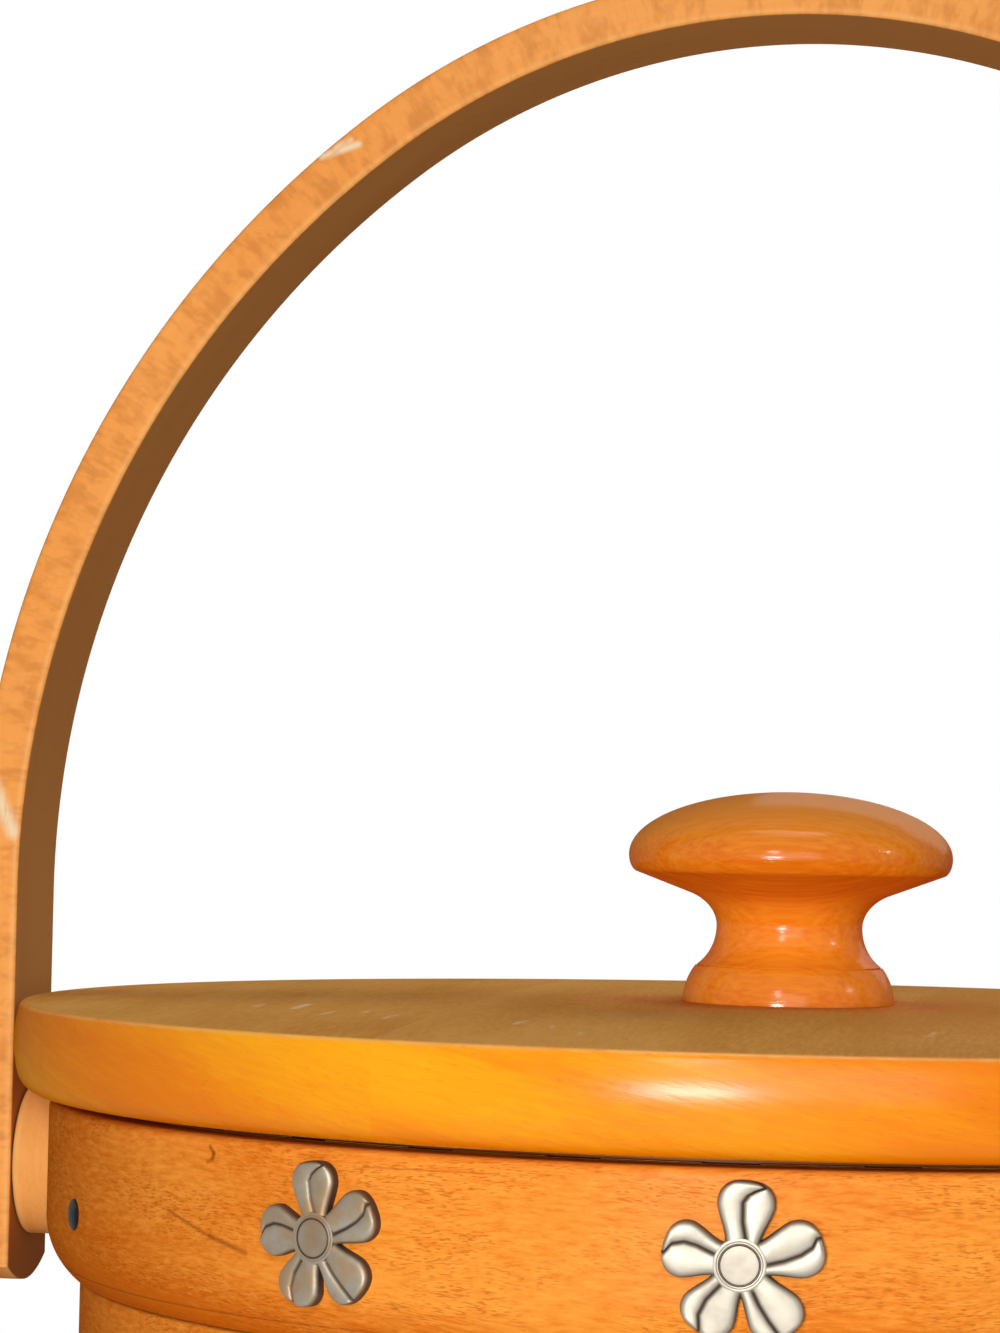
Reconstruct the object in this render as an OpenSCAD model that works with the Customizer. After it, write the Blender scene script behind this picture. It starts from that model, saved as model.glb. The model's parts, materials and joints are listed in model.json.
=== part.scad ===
// Round lidded basket with a swing handle, wooden rim and turned knob.
// Millimetres, +Z up, origin at the centre of the base's underside.
// The handle pivots lie on the X axis and the front looks along -Y.

/* [Body] */
// Outer radius of the smooth collar hoop that crowns the woven wall
rim_r = 81.9; // [72:0.1:95]
// Height of the rim band's top edge above the floor
rim_h = 124; // [115:1:160]
// Gap left between neighbouring pieces of one assembly
fit = 0.1; // [0.05:0.01:0.15]

/* [Base] */
// Thickness of the turned base board
base_h = 8; // [7:0.5:12]
// How far the base board stands out past the collar radius
base_lip = 1.4; // [0.6:0.1:3]
// Depth of the groove that the uprights stand in
groove_depth = 4.5; // [3:0.5:5.5]
// Radius of the base board's rounded edges
base_edge_r = 1.2; // [0.6:0.1:1.6]

/* [Weave] */
// Number of uprights, a multiple of four so that the pivots pass between two
upright_count = 32; // [24:4:32]
// Width of one upright splint
upright_w = 10; // [8:0.5:10.5]
// Thickness of one upright splint
upright_t = 1.4; // [1:0.1:1.8]
// Thickness of one weaver splint
weaver_t = 1.0; // [0.8:0.1:1.2]
// Length of weaver that lies flat beyond each edge of an upright
weaver_land = 0.5; // [0.3:0.1:0.8]
// Open space between two weaver rows
row_gap = 0.5; // [0.3:0.1:0.8]

/* [Rim] */
// Thickness of the collar hoop
collar_t = 1.4; // [1.2:0.1:2]
// How far the collar hoop reaches below the band
collar_drop = 12; // [8:1:20]
// Thickness of the outer band
band_t = 3.9; // [3:0.1:5]
// Height of the outer band
band_h = 20; // [18:0.5:26]
// Height of the rounded lower edge of the band
band_round_h = 7; // [4:0.5:9]
// How far the band's lower edge draws in towards the collar
band_round_in = 3.5; // [2:0.1:3.6]
// Radius of the band's top outer edge
band_edge_r = 0.8; // [0.4:0.1:1.2]
// Thickness of the inner hoop
hoop_t = 2.6; // [2:0.1:3.5]
// Height of the inner hoop
hoop_h = 18; // [16:1:24]
// How far the inner hoop stands above the band, so that it carries the lid
hoop_stand = 0.75; // [0.4:0.05:1.5]

/* [Handle] */
// Width of the bent handle strip
handle_w = 17.5; // [14:0.5:20]
// Thickness of the bent handle strip
handle_t = 5.5; // [4:0.25:7]
// Gap between the lid's edge and the handle's legs
handle_side_gap = 1; // [0.8:0.1:3]
// Height of the handle's straight legs above the pivot
handle_leg_up = 32.2; // [28:0.1:50]
// Rise of the arch from the top of the legs to its inner crown
handle_rise = 104; // [100:0.5:120]
// Radius of the arch's inner crown
crown_r = 78.5; // [74:0.5:82]
// Length of the handle below the pivot
leg_end = 14.5; // [12:0.5:17]
// Radius of the rounded ends of the handle
leg_end_r = 18; // [9:0.5:20]

/* [Pivots] */
// Distance of the pivots below the band's top edge
pivot_drop = 8.8; // [8.5:0.1:10.5]
// Diameter of the pivot pins
pin_d = 4; // [3:0.1:4.4]
// Running clearance between a pin and the handle, on the radius
pin_play = 0.05; // [0.02:0.01:0.09]
// Side play between the handle and its spacers and washers
handle_play = 0.2; // [0.1:0.05:0.4]
// Diameter of the wooden spacers
spacer_d = 18; // [12:0.5:18]
// Diameter of the washers under the pin heads
washer_d = 10.5; // [9:0.5:13]
// Thickness of the washers under the pin heads
washer_t = 0.8; // [0.6:0.1:1.2]
// Diameter of the domed pin heads
pin_head_d = 8; // [6.5:0.5:8.5]
// Height of the domed pin heads
pin_head_h = 2; // [1.2:0.1:3]
// Diameter of the burrs that lock the pins inside the rim
burr_d = 8; // [6.5:0.5:9]
// Thickness of the burrs
burr_t = 1; // [0.6:0.1:1.5]
// Length of pin riveted over each burr
rivet_end = 0.8; // [0.5:0.1:1.2]

/* [Lid] */
// How far the lid reaches past the rim band
lid_overhang = 4.2; // [3:0.1:8]
// Thickness of the lid at its edge
lid_t = 10.3; // [8:0.1:14]
// Rise of the lid's crowned top
lid_crown = 1; // [0.5:0.1:2]
// Radius of the lid's upper edge
lid_top_r = 0.9; // [0.5:0.1:2]
// Radius of the lid's lower edge
lid_bottom_r = 3; // [1.5:0.1:4]
// Angle by which the lid's swelling side leans in at its two edges
lid_side_angle = 14; // [6:1:24]
// Distance of the glue joints between the lid boards from the centre
board_split = 35; // [28:1:55]
// Gap between the lid's locating ring and the inner hoop
ring_gap = 0.7; // [0.4:0.1:1.5]
// Thickness of the locating ring under the lid
ring_t = 5; // [3:0.5:8]
// Depth of the locating ring under the lid
ring_h = 4.4; // [3:0.1:4.6]
// Gap between the lid's underside and the inner hoop that it rests on
lid_seat = 0.1; // [0.05:0.01:0.2]

/* [Knob] */
// Largest diameter of the knob's cap
knob_d = 38; // [34:0.5:46]
// Diameter of the knob's neck
neck_d = 17.1; // [15:0.1:20]
// Diameter of the knob's foot where it stands on the lid
foot_d = 24.8; // [23:0.1:28]
// Diameter of the knob's foot at its upper edge
foot_top_d = 22; // [20.5:0.1:22.6]
// Height of the knob's foot
foot_h = 4.2; // [3:0.05:4.5]
// Height of the narrowest part of the neck
neck_h = 8.9; // [7.5:0.1:10]
// Height of the cap's widest part
cap_h = 17.15; // [16.5:0.05:20]
// Height of the cap's dome above its widest part
dome_h = 7.55; // [5:0.05:9]
// Height of the cap's rounded lower edge
cap_edge_h = 2.1; // [1.2:0.1:3]
// How far the cap's lower edge lies inside its widest part
cap_edge_in = 1.2; // [0.8:0.1:2]
// Diameter of the knob screw
screw_d = 4; // [3:0.1:5]
// Length of the screw inside the knob
screw_grip = 14; // [8:0.5:16]

/* [Ornaments] */
// Reach of the flower petals from the flower's centre
flower_r = 8; // [6:0.1:8.5]
// Thickness of the flowers
flower_t = 1.3; // [0.6:0.1:1.5]
// Depth of the notches between petals, as reach of the notch from the centre
notch_r = 3.2; // [2.6:0.1:4]
// Angle round the rim between neighbouring flowers
flower_step = 29.5; // [22:0.5:32]
// Angle by which the middle flower sits off the exact front
flower_turn = -1; // [-4:0.5:4]
// Height of the flowers above the pivots
flower_lift = -0.2; // [-1:0.1:1]
// Diameter of the pin heads in the flowers' centres
flower_pin_d = 4.4; // [3:0.1:5]
// Height of the pin heads in the flowers' centres
flower_pin_h = 0.7; // [0.5:0.1:1.5]
// Depth of the seat that each pin head lies in
flower_pin_seat = 0.5; // [0.2:0.1:0.6]
// Diameter of the pins' and nails' shanks
shank_d = 1.4; // [1:0.1:1.8]
// Diameter of the rim nails' heads
nail_d = 3.4; // [2.6:0.1:4]
// Height of the rim nails' heads
nail_h = 0.5; // [0.3:0.1:1]
// Angle of the rim nails from the front and back
nail_angle = 60; // [56:1:68]
// Distance of the rim nails below the flowers' centres
nail_drop = 2; // [0:0.1:3]

/* [Hidden] */
$fn = 96;

ROW_COUNT = 12;
ARC_STEPS = 10;
ARCH_STEPS = 18;
PETALS = 5;
PETAL_STEPS = 14;
PETAL_FULLNESS = 0.55;
COVE_END = 60;
CAP_UNDER_RISE = 0.61;
CAP_UNDER_REACH = 0.68;
CAP_EDGE_START = 80;
CAP_EDGE_END = 6;
WOOD = [0.86, 0.52, 0.20];
WOOD_LIGHT = [0.92, 0.62, 0.32];
WOOD_DEEP = [0.80, 0.42, 0.13];
PEWTER = [0.72, 0.70, 0.66];
STEEL = [0.35, 0.34, 0.33];

// Radii of the rim, from the outside in
band_in_r = rim_r + fit;
band_r = band_in_r + band_t;
collar_in_r = rim_r - collar_t;
upright_out = sqrt(pow(collar_in_r - fit, 2) - pow(upright_w / 2, 2));
upright_in = upright_out - upright_t;
hoop_r = upright_in - fit;
hoop_in_r = hoop_r - hoop_t;
base_r = rim_r + base_lip;

// Heights of the rim and the woven wall
band_bottom = rim_h - band_h;
band_draw = min(band_round_in, band_t - 2 * fit);
collar_bottom = band_bottom - collar_drop;
hoop_top = rim_h + hoop_stand;
row_pitch = (collar_bottom - base_h - row_gap) / ROW_COUNT;
weaver_w = row_pitch - row_gap;
upright_bottom = base_h - groove_depth;

// Pivots, spacers and pins along the X axis
pivot_z = rim_h - pivot_drop;
lid_r = band_r + lid_overhang;
handle_in = lid_r + handle_side_gap;
handle_out = handle_in + handle_t;
spring_z = pivot_z + handle_leg_up;
bore_r = pin_d / 2 + pin_play;
burr_x = sqrt(pow(hoop_in_r, 2) - pow(burr_d / 2, 2)) - fit;
washer_x = handle_out + handle_play;
pin_head_x = washer_x + washer_t;

// Arch of the handle: a crown arc between two haunch arcs that meet it at haunch_angle
haunch_r = (pow(handle_in, 2) + pow(handle_rise, 2) - 2 * handle_rise * crown_r)
    / (2 * (handle_in - crown_r));
haunch_angle = asin((handle_rise - crown_r) / (haunch_r - crown_r));

// Lid heights
lid_bottom = hoop_top + lid_seat;
lid_top = lid_bottom + lid_t + lid_crown;
lid_side_h = lid_t - (lid_bottom_r + lid_top_r) * (1 - sin(lid_side_angle));
lid_side_r = lid_side_h / (2 * sin(lid_side_angle));
lid_side_low = lid_bottom_r * (1 - sin(lid_side_angle));
lid_shoulder = lid_r - lid_side_r * (1 - cos(lid_side_angle));
lid_brim = lid_shoulder - lid_top_r * cos(lid_side_angle);
crown_arc_r = (pow(lid_brim, 2) + pow(lid_crown, 2)) / (2 * lid_crown);
crown_arc_angle = asin(lid_brim / crown_arc_r);
ring_r = hoop_in_r - ring_gap;
screw_bore_r = screw_d / 2 + fit;
screw_head_d = 2.1 * screw_d;
screw_head_h = 0.7 * screw_d;
knob_washer_d = 3 * screw_d;
knob_washer_t = 1;

// Flowers and nails
flower_in_r = band_r + fit / 2;
flower_out_r = flower_in_r + flower_t;
flower_z = pivot_z + flower_lift;
flower_seat_r = flower_out_r - flower_pin_seat;
nail_z = flower_z - nail_drop;
shank_bore_r = shank_d / 2 + fit;
shank_len = band_t - 2 * fit;

// Points along an ellipse from one angle to another, leaving out the first few
function arc(cx, cy, rx, ry, from, to, steps = ARC_STEPS, skip = 0) =
    [for (i = [skip:steps]) let (a = from + (to - from) * i / steps) [cx + rx * cos(a), cy + ry * sin(a)]];

function reversed(points) = [for (i = [len(points) - 1:-1:0]) points[i]];

// One face of the handle from foot to foot, at a distance outside its inner face
function arch_line(out) = concat(
    [[handle_in + out, pivot_z - leg_end]],
    arc(handle_in - haunch_r, spring_z, haunch_r + out, haunch_r + out, 0, haunch_angle, ARCH_STEPS),
    arc(0, spring_z + handle_rise - crown_r, crown_r + out, crown_r + out,
        haunch_angle, 180 - haunch_angle, ARCH_STEPS, 1),
    arc(haunch_r - handle_in, spring_z, haunch_r + out, haunch_r + out,
        180 - haunch_angle, 180, ARCH_STEPS, 1),
    [[-handle_in - out, pivot_z - leg_end]]);

// Point at a distance from the axis and an offset along the wall, for the upright at angle a
function wall_point(a, along, out) = [along * cos(a) + out * sin(a), along * sin(a) - out * cos(a)];

// Side of a weaver that passes uprights in turn outside and inside, at the given two distances
function weave_line(phase, out_dist, in_dist) =
    [for (k = [0:upright_count - 1], side = [-1, 1])
        wall_point((k + 0.5) * 360 / upright_count, side * (upright_w / 2 + weaver_land),
                   (k + phase) % 2 == 0 ? out_dist : in_dist)];

// Outline of a flower, with one petal pointing up
function flower_outline() =
    [for (i = [0:PETALS * PETAL_STEPS - 1])
        let (a = 360 * i / (PETALS * PETAL_STEPS),
             r = notch_r + (flower_r - notch_r) * pow(abs(cos(PETALS * a / 2)), PETAL_FULLNESS))
        [r * sin(a), r * cos(a)]];

module hoop(r_in, r_out, z, h) {
    translate([0, 0, z]) rotate_extrude() translate([r_in, 0]) square([r_out - r_in, h]);
}

// Places children made for the front at an angle towards the left
module round_rim(a) {
    rotate([0, 0, -a]) children();
}

// Rod along the X axis at pivot height
module x_rod(r, from, to) {
    translate([from, 0, pivot_z]) rotate([0, 90, 0]) cylinder(r = r, h = to - from);
}

// Rod that points out of the front at a height
module front_rod(r, from, to, z = flower_z) {
    translate([0, -from, z]) rotate([90, 0, 0]) cylinder(r = r, h = to - from);
}

module on_side(side) {
    mirror([side < 0 ? 1 : 0, 0, 0]) children();
}

module at_flowers() {
    for (half = [0, 180], i = [-1, 0, 1]) round_rim(half + flower_turn + i * flower_step) children();
}

module at_nails() {
    for (half = [0, 180], side = [-1, 1]) round_rim(half + side * nail_angle) children();
}

module pivot_bores() {
    for (side = [-1, 1]) on_side(side) x_rod(bore_r, burr_x - burr_t - fit, handle_out + fit);
}

module base_board() {
    color(WOOD) difference() {
        rotate_extrude() polygon(concat(
            [[0, 0]],
            arc(base_r - base_edge_r, base_edge_r, base_edge_r, base_edge_r, -90, 0),
            arc(base_r - base_edge_r, base_h - base_edge_r, base_edge_r, base_edge_r, 0, 90),
            [[0, base_h]]));
        hoop(hoop_r, collar_in_r, upright_bottom, base_h);
    }
}

module uprights() {
    color(WOOD) for (k = [0:upright_count - 1]) rotate([0, 0, (k + 0.5) * 360 / upright_count])
        translate([-upright_w / 2, -upright_out, upright_bottom])
            cube([upright_w, upright_t, rim_h - upright_bottom]);
}

// One splint ring, outside every second upright and inside the others
module weaver(row) {
    color(row % 2 == 0 ? WOOD : WOOD_LIGHT)
        translate([0, 0, base_h + row_gap + (row - 1) * row_pitch]) linear_extrude(weaver_w) difference() {
            polygon(weave_line(row, upright_out + fit + weaver_t, upright_in - fit));
            polygon(weave_line(row, upright_out + fit, upright_in - fit - weaver_t));
        }
}

module rim_collar() {
    color(WOOD) difference() {
        hoop(collar_in_r, rim_r, collar_bottom, rim_h - collar_bottom);
        pivot_bores();
    }
}

module rim_inner_hoop() {
    color(WOOD_LIGHT) difference() {
        hoop(hoop_in_r, hoop_r, hoop_top - hoop_h, hoop_h);
        pivot_bores();
    }
}

// Outer band, square above and drawn in below by one long arc
module rim_band() {
    sweep_r = (pow(band_draw, 2) + pow(band_round_h, 2)) / (2 * band_draw);
    sweep = asin(band_round_h / sweep_r);
    color(WOOD) difference() {
        translate([0, 0, band_bottom]) rotate_extrude() polygon(concat(
            [[band_in_r, 0]],
            arc(band_r - sweep_r, band_round_h, sweep_r, sweep_r, -sweep, 0),
            arc(band_r - band_edge_r, band_h - band_edge_r, band_edge_r, band_edge_r, 0, 90, 4),
            [[band_in_r, band_h]]));
        pivot_bores();
        at_flowers() front_rod(shank_bore_r, band_in_r - band_t, band_r + fit);
        at_nails() front_rod(shank_bore_r, band_in_r - band_t, band_r + fit, nail_z);
    }
}

module rim_nails() {
    color(STEEL) at_nails() {
        front_rod(shank_d / 2, band_r - shank_len, band_r + fit, nail_z);
        translate([0, -band_r - fit, nail_z]) rotate([90, 0, 0]) pin_head(nail_d, nail_h);
    }
}

// Domed head on its flat underside
module pin_head(d, h) {
    rim = h / 4;
    rotate_extrude() polygon(concat([[0, 0], [d / 2, 0]], arc(0, rim, d / 2, h - rim, 0, 90)));
}

// Flower plate that follows the curve of the band
module flower() {
    color(PEWTER) difference() {
        intersection() {
            translate([0, 0, flower_z]) rotate([90, 0, 0]) linear_extrude(flower_out_r + flower_t)
                polygon(flower_outline());
            hoop(flower_in_r, flower_out_r, flower_z - 2 * flower_r, 4 * flower_r);
        }
        front_rod(shank_bore_r, band_r - flower_t, flower_out_r + flower_t);
        front_rod(flower_pin_d / 2 + fit, flower_seat_r, flower_out_r + flower_t);
    }
}

module flower_at(half, i) {
    round_rim(half + flower_turn + i * flower_step) flower();
}

module flower_pins() {
    color(PEWTER) at_flowers() {
        front_rod(shank_d / 2, band_r - shank_len, flower_seat_r + fit);
        translate([0, -flower_seat_r - fit, flower_z]) rotate([90, 0, 0])
            pin_head(flower_pin_d, flower_pin_h);
    }
}

// Wooden disc with a saddle that fits the band
module spacer(side) {
    color(WOOD_LIGHT) on_side(side) difference() {
        x_rod(spacer_d / 2, band_r - band_t, handle_in - handle_play);
        translate([0, 0, pivot_z - spacer_d]) cylinder(r = band_r + fit, h = 2 * spacer_d);
        x_rod(bore_r, band_r - band_t, handle_in);
    }
}

module pivot_pin(side) {
    color(PEWTER) on_side(side) {
        x_rod(pin_d / 2, burr_x - burr_t - rivet_end, pin_head_x);
        translate([pin_head_x, 0, pivot_z]) rotate([0, 90, 0]) pin_head(pin_head_d, pin_head_h);
    }
}

module pivot_washer(side) {
    color(PEWTER) on_side(side) difference() {
        x_rod(washer_d / 2, washer_x, pin_head_x);
        x_rod(bore_r, washer_x - fit, pin_head_x + fit);
    }
}

module pivot_burr(side) {
    color(PEWTER) on_side(side) difference() {
        x_rod(burr_d / 2, burr_x - burr_t, burr_x);
        x_rod(bore_r, burr_x - burr_t - fit, burr_x + fit);
    }
}

// What is cut away to round one end of the handle
module leg_end_cut() {
    translate([handle_in - fit, 0, pivot_z - leg_end]) difference() {
        translate([0, -handle_w, -fit]) cube([handle_t + 2 * fit, 2 * handle_w, leg_end_r + fit]);
        translate([-fit, 0, leg_end_r]) rotate([0, 90, 0]) cylinder(r = leg_end_r, h = handle_t + 4 * fit);
    }
}

// Bent strip: straight legs, two haunches and a crown
module handle() {
    color(WOOD) difference() {
        translate([0, handle_w / 2, 0]) rotate([90, 0, 0]) linear_extrude(handle_w)
            polygon(concat(arch_line(handle_t), reversed(arch_line(0))));
        pivot_bores();
        for (side = [-1, 1]) on_side(side) leg_end_cut();
    }
}

// Whole lid disc with a crowned top, a swelling side and rounded edges
module lid_disc() {
    lean = lid_side_angle;
    translate([0, 0, lid_bottom]) difference() {
        rotate_extrude() polygon(concat(
            [[0, 0]],
            arc(lid_shoulder - lid_bottom_r * cos(lean), lid_bottom_r,
                lid_bottom_r, lid_bottom_r, -90, -lean),
            arc(lid_r - lid_side_r, lid_side_low + lid_side_h / 2, lid_side_r, lid_side_r, -lean, lean, 6, 1),
            arc(lid_brim, lid_t - lid_top_r, lid_top_r, lid_top_r, lean, 90 - crown_arc_angle, 6, 1),
            arc(0, lid_t + lid_crown - crown_arc_r, crown_arc_r, crown_arc_r, 90 - crown_arc_angle, 90)));
        translate([0, 0, -fit]) cylinder(r = screw_bore_r, h = lid_t + lid_crown + 2 * fit);
    }
}

// The part of the lid between two glue joints
module lid_board(from, to) {
    color(WOOD) intersection() {
        lid_disc();
        translate([from, -2 * lid_r, lid_bottom - lid_t]) cube([to - from, 4 * lid_r, 3 * lid_t + lid_crown]);
    }
}

module lid_ring() {
    color(WOOD_LIGHT) hoop(ring_r - ring_t, ring_r, lid_bottom - ring_h, ring_h);
}

// Turned knob: tapered foot, waisted neck and mushroom cap
module lid_knob() {
    neck_r = neck_d / 2;
    cap_r = knob_d / 2;
    foot_r = foot_d / 2;
    foot_top_r = foot_top_d / 2;
    foot_arc_r = (pow(foot_r - foot_top_r, 2) + pow(foot_h, 2)) / (2 * (foot_r - foot_top_r));
    low_cove_z = (neck_h - foot_h) / sin(COVE_END);
    low_cove_r = (foot_top_r - neck_r) / (1 - cos(COVE_END));
    edge_r = cap_r - cap_edge_in;
    high_cove_z = (cap_h - cap_edge_h - neck_h) * CAP_UNDER_RISE / sin(COVE_END);
    high_cove_r = (edge_r - neck_r) * (1 - CAP_UNDER_REACH) / (1 - cos(COVE_END));
    color(WOOD_DEEP) translate([0, 0, lid_top]) difference() {
        rotate_extrude() polygon(concat(
            [[0, 0]],
            arc(foot_r - foot_arc_r, 0, foot_arc_r, foot_arc_r, 0, asin(foot_h / foot_arc_r), 8),
            arc(neck_r + low_cove_r, neck_h, low_cove_r, low_cove_z, 180 + COVE_END, 180, 8, 1),
            arc(neck_r + high_cove_r, neck_h, high_cove_r, high_cove_z, 180, 180 - COVE_END, 8, 1),
            arc(edge_r, cap_h, cap_edge_in, cap_edge_h, -CAP_EDGE_START, 0, 8),
            arc(0, cap_h, cap_r, dome_h, CAP_EDGE_END, 90, 14)));
        translate([0, 0, -fit]) cylinder(r = screw_bore_r, h = screw_grip + 2 * fit);
    }
}

module knob_screw() {
    color(STEEL) {
        translate([0, 0, lid_bottom - knob_washer_t])
            cylinder(d = screw_d, h = knob_washer_t + lid_t + lid_crown + screw_grip);
        translate([0, 0, lid_bottom - knob_washer_t]) mirror([0, 0, 1]) pin_head(screw_head_d, screw_head_h);
    }
}

module knob_washer() {
    color(STEEL) translate([0, 0, lid_bottom - knob_washer_t]) difference() {
        cylinder(d = knob_washer_d, h = knob_washer_t);
        translate([0, 0, -fit]) cylinder(r = screw_bore_r, h = knob_washer_t + 2 * fit);
    }
}

base_board();
uprights();
weaver(1);  // weaver_1
weaver(2);  // weaver_2
weaver(3);  // weaver_3
weaver(4);  // weaver_4
weaver(5);  // weaver_5
weaver(6);  // weaver_6
weaver(7);  // weaver_7
weaver(8);  // weaver_8
weaver(9);  // weaver_9
weaver(10);  // weaver_10
weaver(11);  // weaver_11
weaver(12);  // weaver_12
rim_collar();
rim_inner_hoop();
rim_band();
rim_nails();
flower_at(0, 1);  // flower_front_left
flower_at(0, 0);  // flower_front
flower_at(0, -1);  // flower_front_right
flower_at(180, -1);  // flower_back_left
flower_at(180, 0);  // flower_back
flower_at(180, 1);  // flower_back_right
flower_pins();
spacer(-1);  // spacer_left
spacer(1);  // spacer_right
pivot_pin(-1);  // pivot_pin_left
pivot_pin(1);  // pivot_pin_right
pivot_washer(-1);  // pivot_washer_left
pivot_washer(1);  // pivot_washer_right
pivot_burr(-1);  // pivot_burr_left
pivot_burr(1);  // pivot_burr_right
handle();
lid_board(-lid_r, -board_split);  // lid_board_left
lid_board(-board_split, board_split);  // lid_board_centre
lid_board(board_split, lid_r);  // lid_board_right
lid_ring();
lid_knob();
knob_screw();
knob_washer();
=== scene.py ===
"""Looks of a round lidded basket: woven splint wall, wooden rim, lid, turned knob and swing handle."""
import json
import math
import random

import bmesh
import bpy
from mathutils import Matrix, Vector


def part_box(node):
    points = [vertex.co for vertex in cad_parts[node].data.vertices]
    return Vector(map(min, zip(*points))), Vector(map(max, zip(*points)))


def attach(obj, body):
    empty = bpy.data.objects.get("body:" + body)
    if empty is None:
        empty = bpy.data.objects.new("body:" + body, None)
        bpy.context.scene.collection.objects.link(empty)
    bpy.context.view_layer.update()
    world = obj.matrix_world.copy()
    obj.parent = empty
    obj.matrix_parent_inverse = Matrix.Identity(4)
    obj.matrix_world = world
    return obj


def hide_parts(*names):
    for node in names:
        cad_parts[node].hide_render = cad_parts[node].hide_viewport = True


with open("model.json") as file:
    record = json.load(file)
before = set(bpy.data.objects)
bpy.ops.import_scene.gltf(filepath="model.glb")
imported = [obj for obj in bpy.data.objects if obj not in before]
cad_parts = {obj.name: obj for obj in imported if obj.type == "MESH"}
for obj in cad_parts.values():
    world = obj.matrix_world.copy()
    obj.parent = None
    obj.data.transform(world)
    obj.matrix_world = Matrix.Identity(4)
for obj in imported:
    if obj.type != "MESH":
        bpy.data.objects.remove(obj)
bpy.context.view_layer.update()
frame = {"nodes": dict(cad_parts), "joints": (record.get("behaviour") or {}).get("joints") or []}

MM = 0.001
TURNS = 240
FILLET_STEPS = 5
SHARP_ANGLE = math.radians(42)
TOP_FACING = 0.9
TINY = 1e-6
ROW_COUNT = 12
dice = random.Random(11)


def span(node):
    """Lowest and highest corner of a node, in millimetres."""
    low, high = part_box(node)
    return low / MM, high / MM


# Sizes read from the frame, in millimetres
band_low, band_high = span("rim_band")
collar_low, collar_high = span("rim_collar")
hoop_low, hoop_high = span("rim_inner_hoop")
base_high = span("base_board")[1]
handle_low, handle_high = span("handle")
lid_low, lid_high = span("lid_board_centre")
lid_r = -span("lid_board_left")[0].x
ring_low, ring_high = span("lid_ring")
knob_low, knob_high = span("lid_knob")
spacer_low, spacer_high = span("spacer_right")
washer_low, washer_high = span("pivot_washer_right")
pin_low, pin_high = span("pivot_pin_right")
upright_low, upright_high = span("uprights")
nail_low, nail_high = span("rim_nails")
flower_low, flower_high = span("flower_pins")
weaver_spans = [span(f"weaver_{row}") for row in range(1, ROW_COUNT + 1)]
pivot_z = frame["joints"][0]["pos_m"][2] / MM
flower_z = (flower_low.z + flower_high.z) / 2
nail_z = (nail_low.z + nail_high.z) / 2
band_r = band_high.x
board_split = lid_high.x

# Sizes that the frame's boxes don't show, in millimetres
FIT = 0.1
BAND_T = 3.9
BAND_ROUND_H = 7.0
BAND_ROUND_IN = 3.5
COLLAR_T = 1.4
HOOP_T = 2.6
RING_T = 5.0
LID_CROWN = 1.0
LID_TOP_R = 0.9
LID_BOTTOM_R = 3.0
LID_SIDE_ANGLE = 14.0
HANDLE_T = 5.5
HANDLE_EDGE_R = 0.5
CROWN_R = 78.5
LEG_UP = 32.2
LEG_END_R = 18.0
UPRIGHTS = 32
UPRIGHT_W = 10.0
UPRIGHT_T = 1.4
WEAVER_T = 1.0
FLOWER_STEP = math.radians(29.5)
FLOWER_TURN = math.radians(-1)
NAIL_ANGLE = math.radians(60)


class Shape:
    """A mesh in millimetres whose points carry grain coordinates, an edge weight and a tone."""

    def __init__(self):
        self.verts, self.faces, self.grain, self.edge, self.tone = [], [], [], [], []

    def point(self, co, grain, edge=0.0, tone=0.0):
        self.verts.append(Vector(co))
        self.grain.append(tuple(grain))
        self.edge.append(edge)
        self.tone.append(tone)
        return len(self.verts) - 1

    def skin(self, rows, close_rows=False, close_columns=True):
        """Quads between rows of point numbers; a row that repeats one number is a pole."""
        pairs = list(zip(rows, rows[1:])) + ([(rows[-1], rows[0])] if close_rows else [])
        for first, second in pairs:
            count = len(first)
            for k in range(count if close_columns else count - 1):
                n = (k + 1) % count
                corners = list(dict.fromkeys((first[k], first[n], second[n], second[k])))
                if len(corners) > 2:
                    self.faces.append(corners)

    def tube(self, rows):
        """Skin with a face at each end."""
        self.skin(rows)
        self.faces += [list(rows[0]), list(rows[-1])]

    def join(self, other):
        start = len(self.verts)
        self.verts += other.verts
        self.grain += other.grain
        self.edge += other.edge
        self.tone += other.tone
        self.faces += [[start + i for i in face] for face in other.faces]
        return self

    def moved(self, matrix):
        self.verts = [matrix @ v for v in self.verts]
        return self


def piece(name, shape, material, body, nodes):
    """Makes the shape a visible piece that rides on a body and stands for the given nodes."""
    mesh = bpy.data.meshes.new(name)
    mesh.from_pydata([v * MM for v in shape.verts], [], shape.faces)
    for label, kind, field, values in (
            ("grain", "FLOAT_VECTOR", "vector", [c for g in shape.grain for c in g]),
            ("edge", "FLOAT", "value", shape.edge),
            ("tone", "FLOAT", "value", shape.tone)):
        mesh.attributes.new(label, kind, "POINT").data.foreach_set(field, values)
    shell = bmesh.new()
    shell.from_mesh(mesh)
    bmesh.ops.recalc_face_normals(shell, faces=shell.faces)
    shell.to_mesh(mesh)
    shell.free()
    mesh.polygons.foreach_set("use_smooth", [True] * len(mesh.polygons))
    mesh.set_sharp_from_angle(angle=SHARP_ANGLE)
    mesh.materials.append(material)
    made = bpy.data.objects.new(name, mesh)
    bpy.context.scene.collection.objects.link(made)
    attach(made, body)
    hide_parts(*nodes)
    return made


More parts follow.
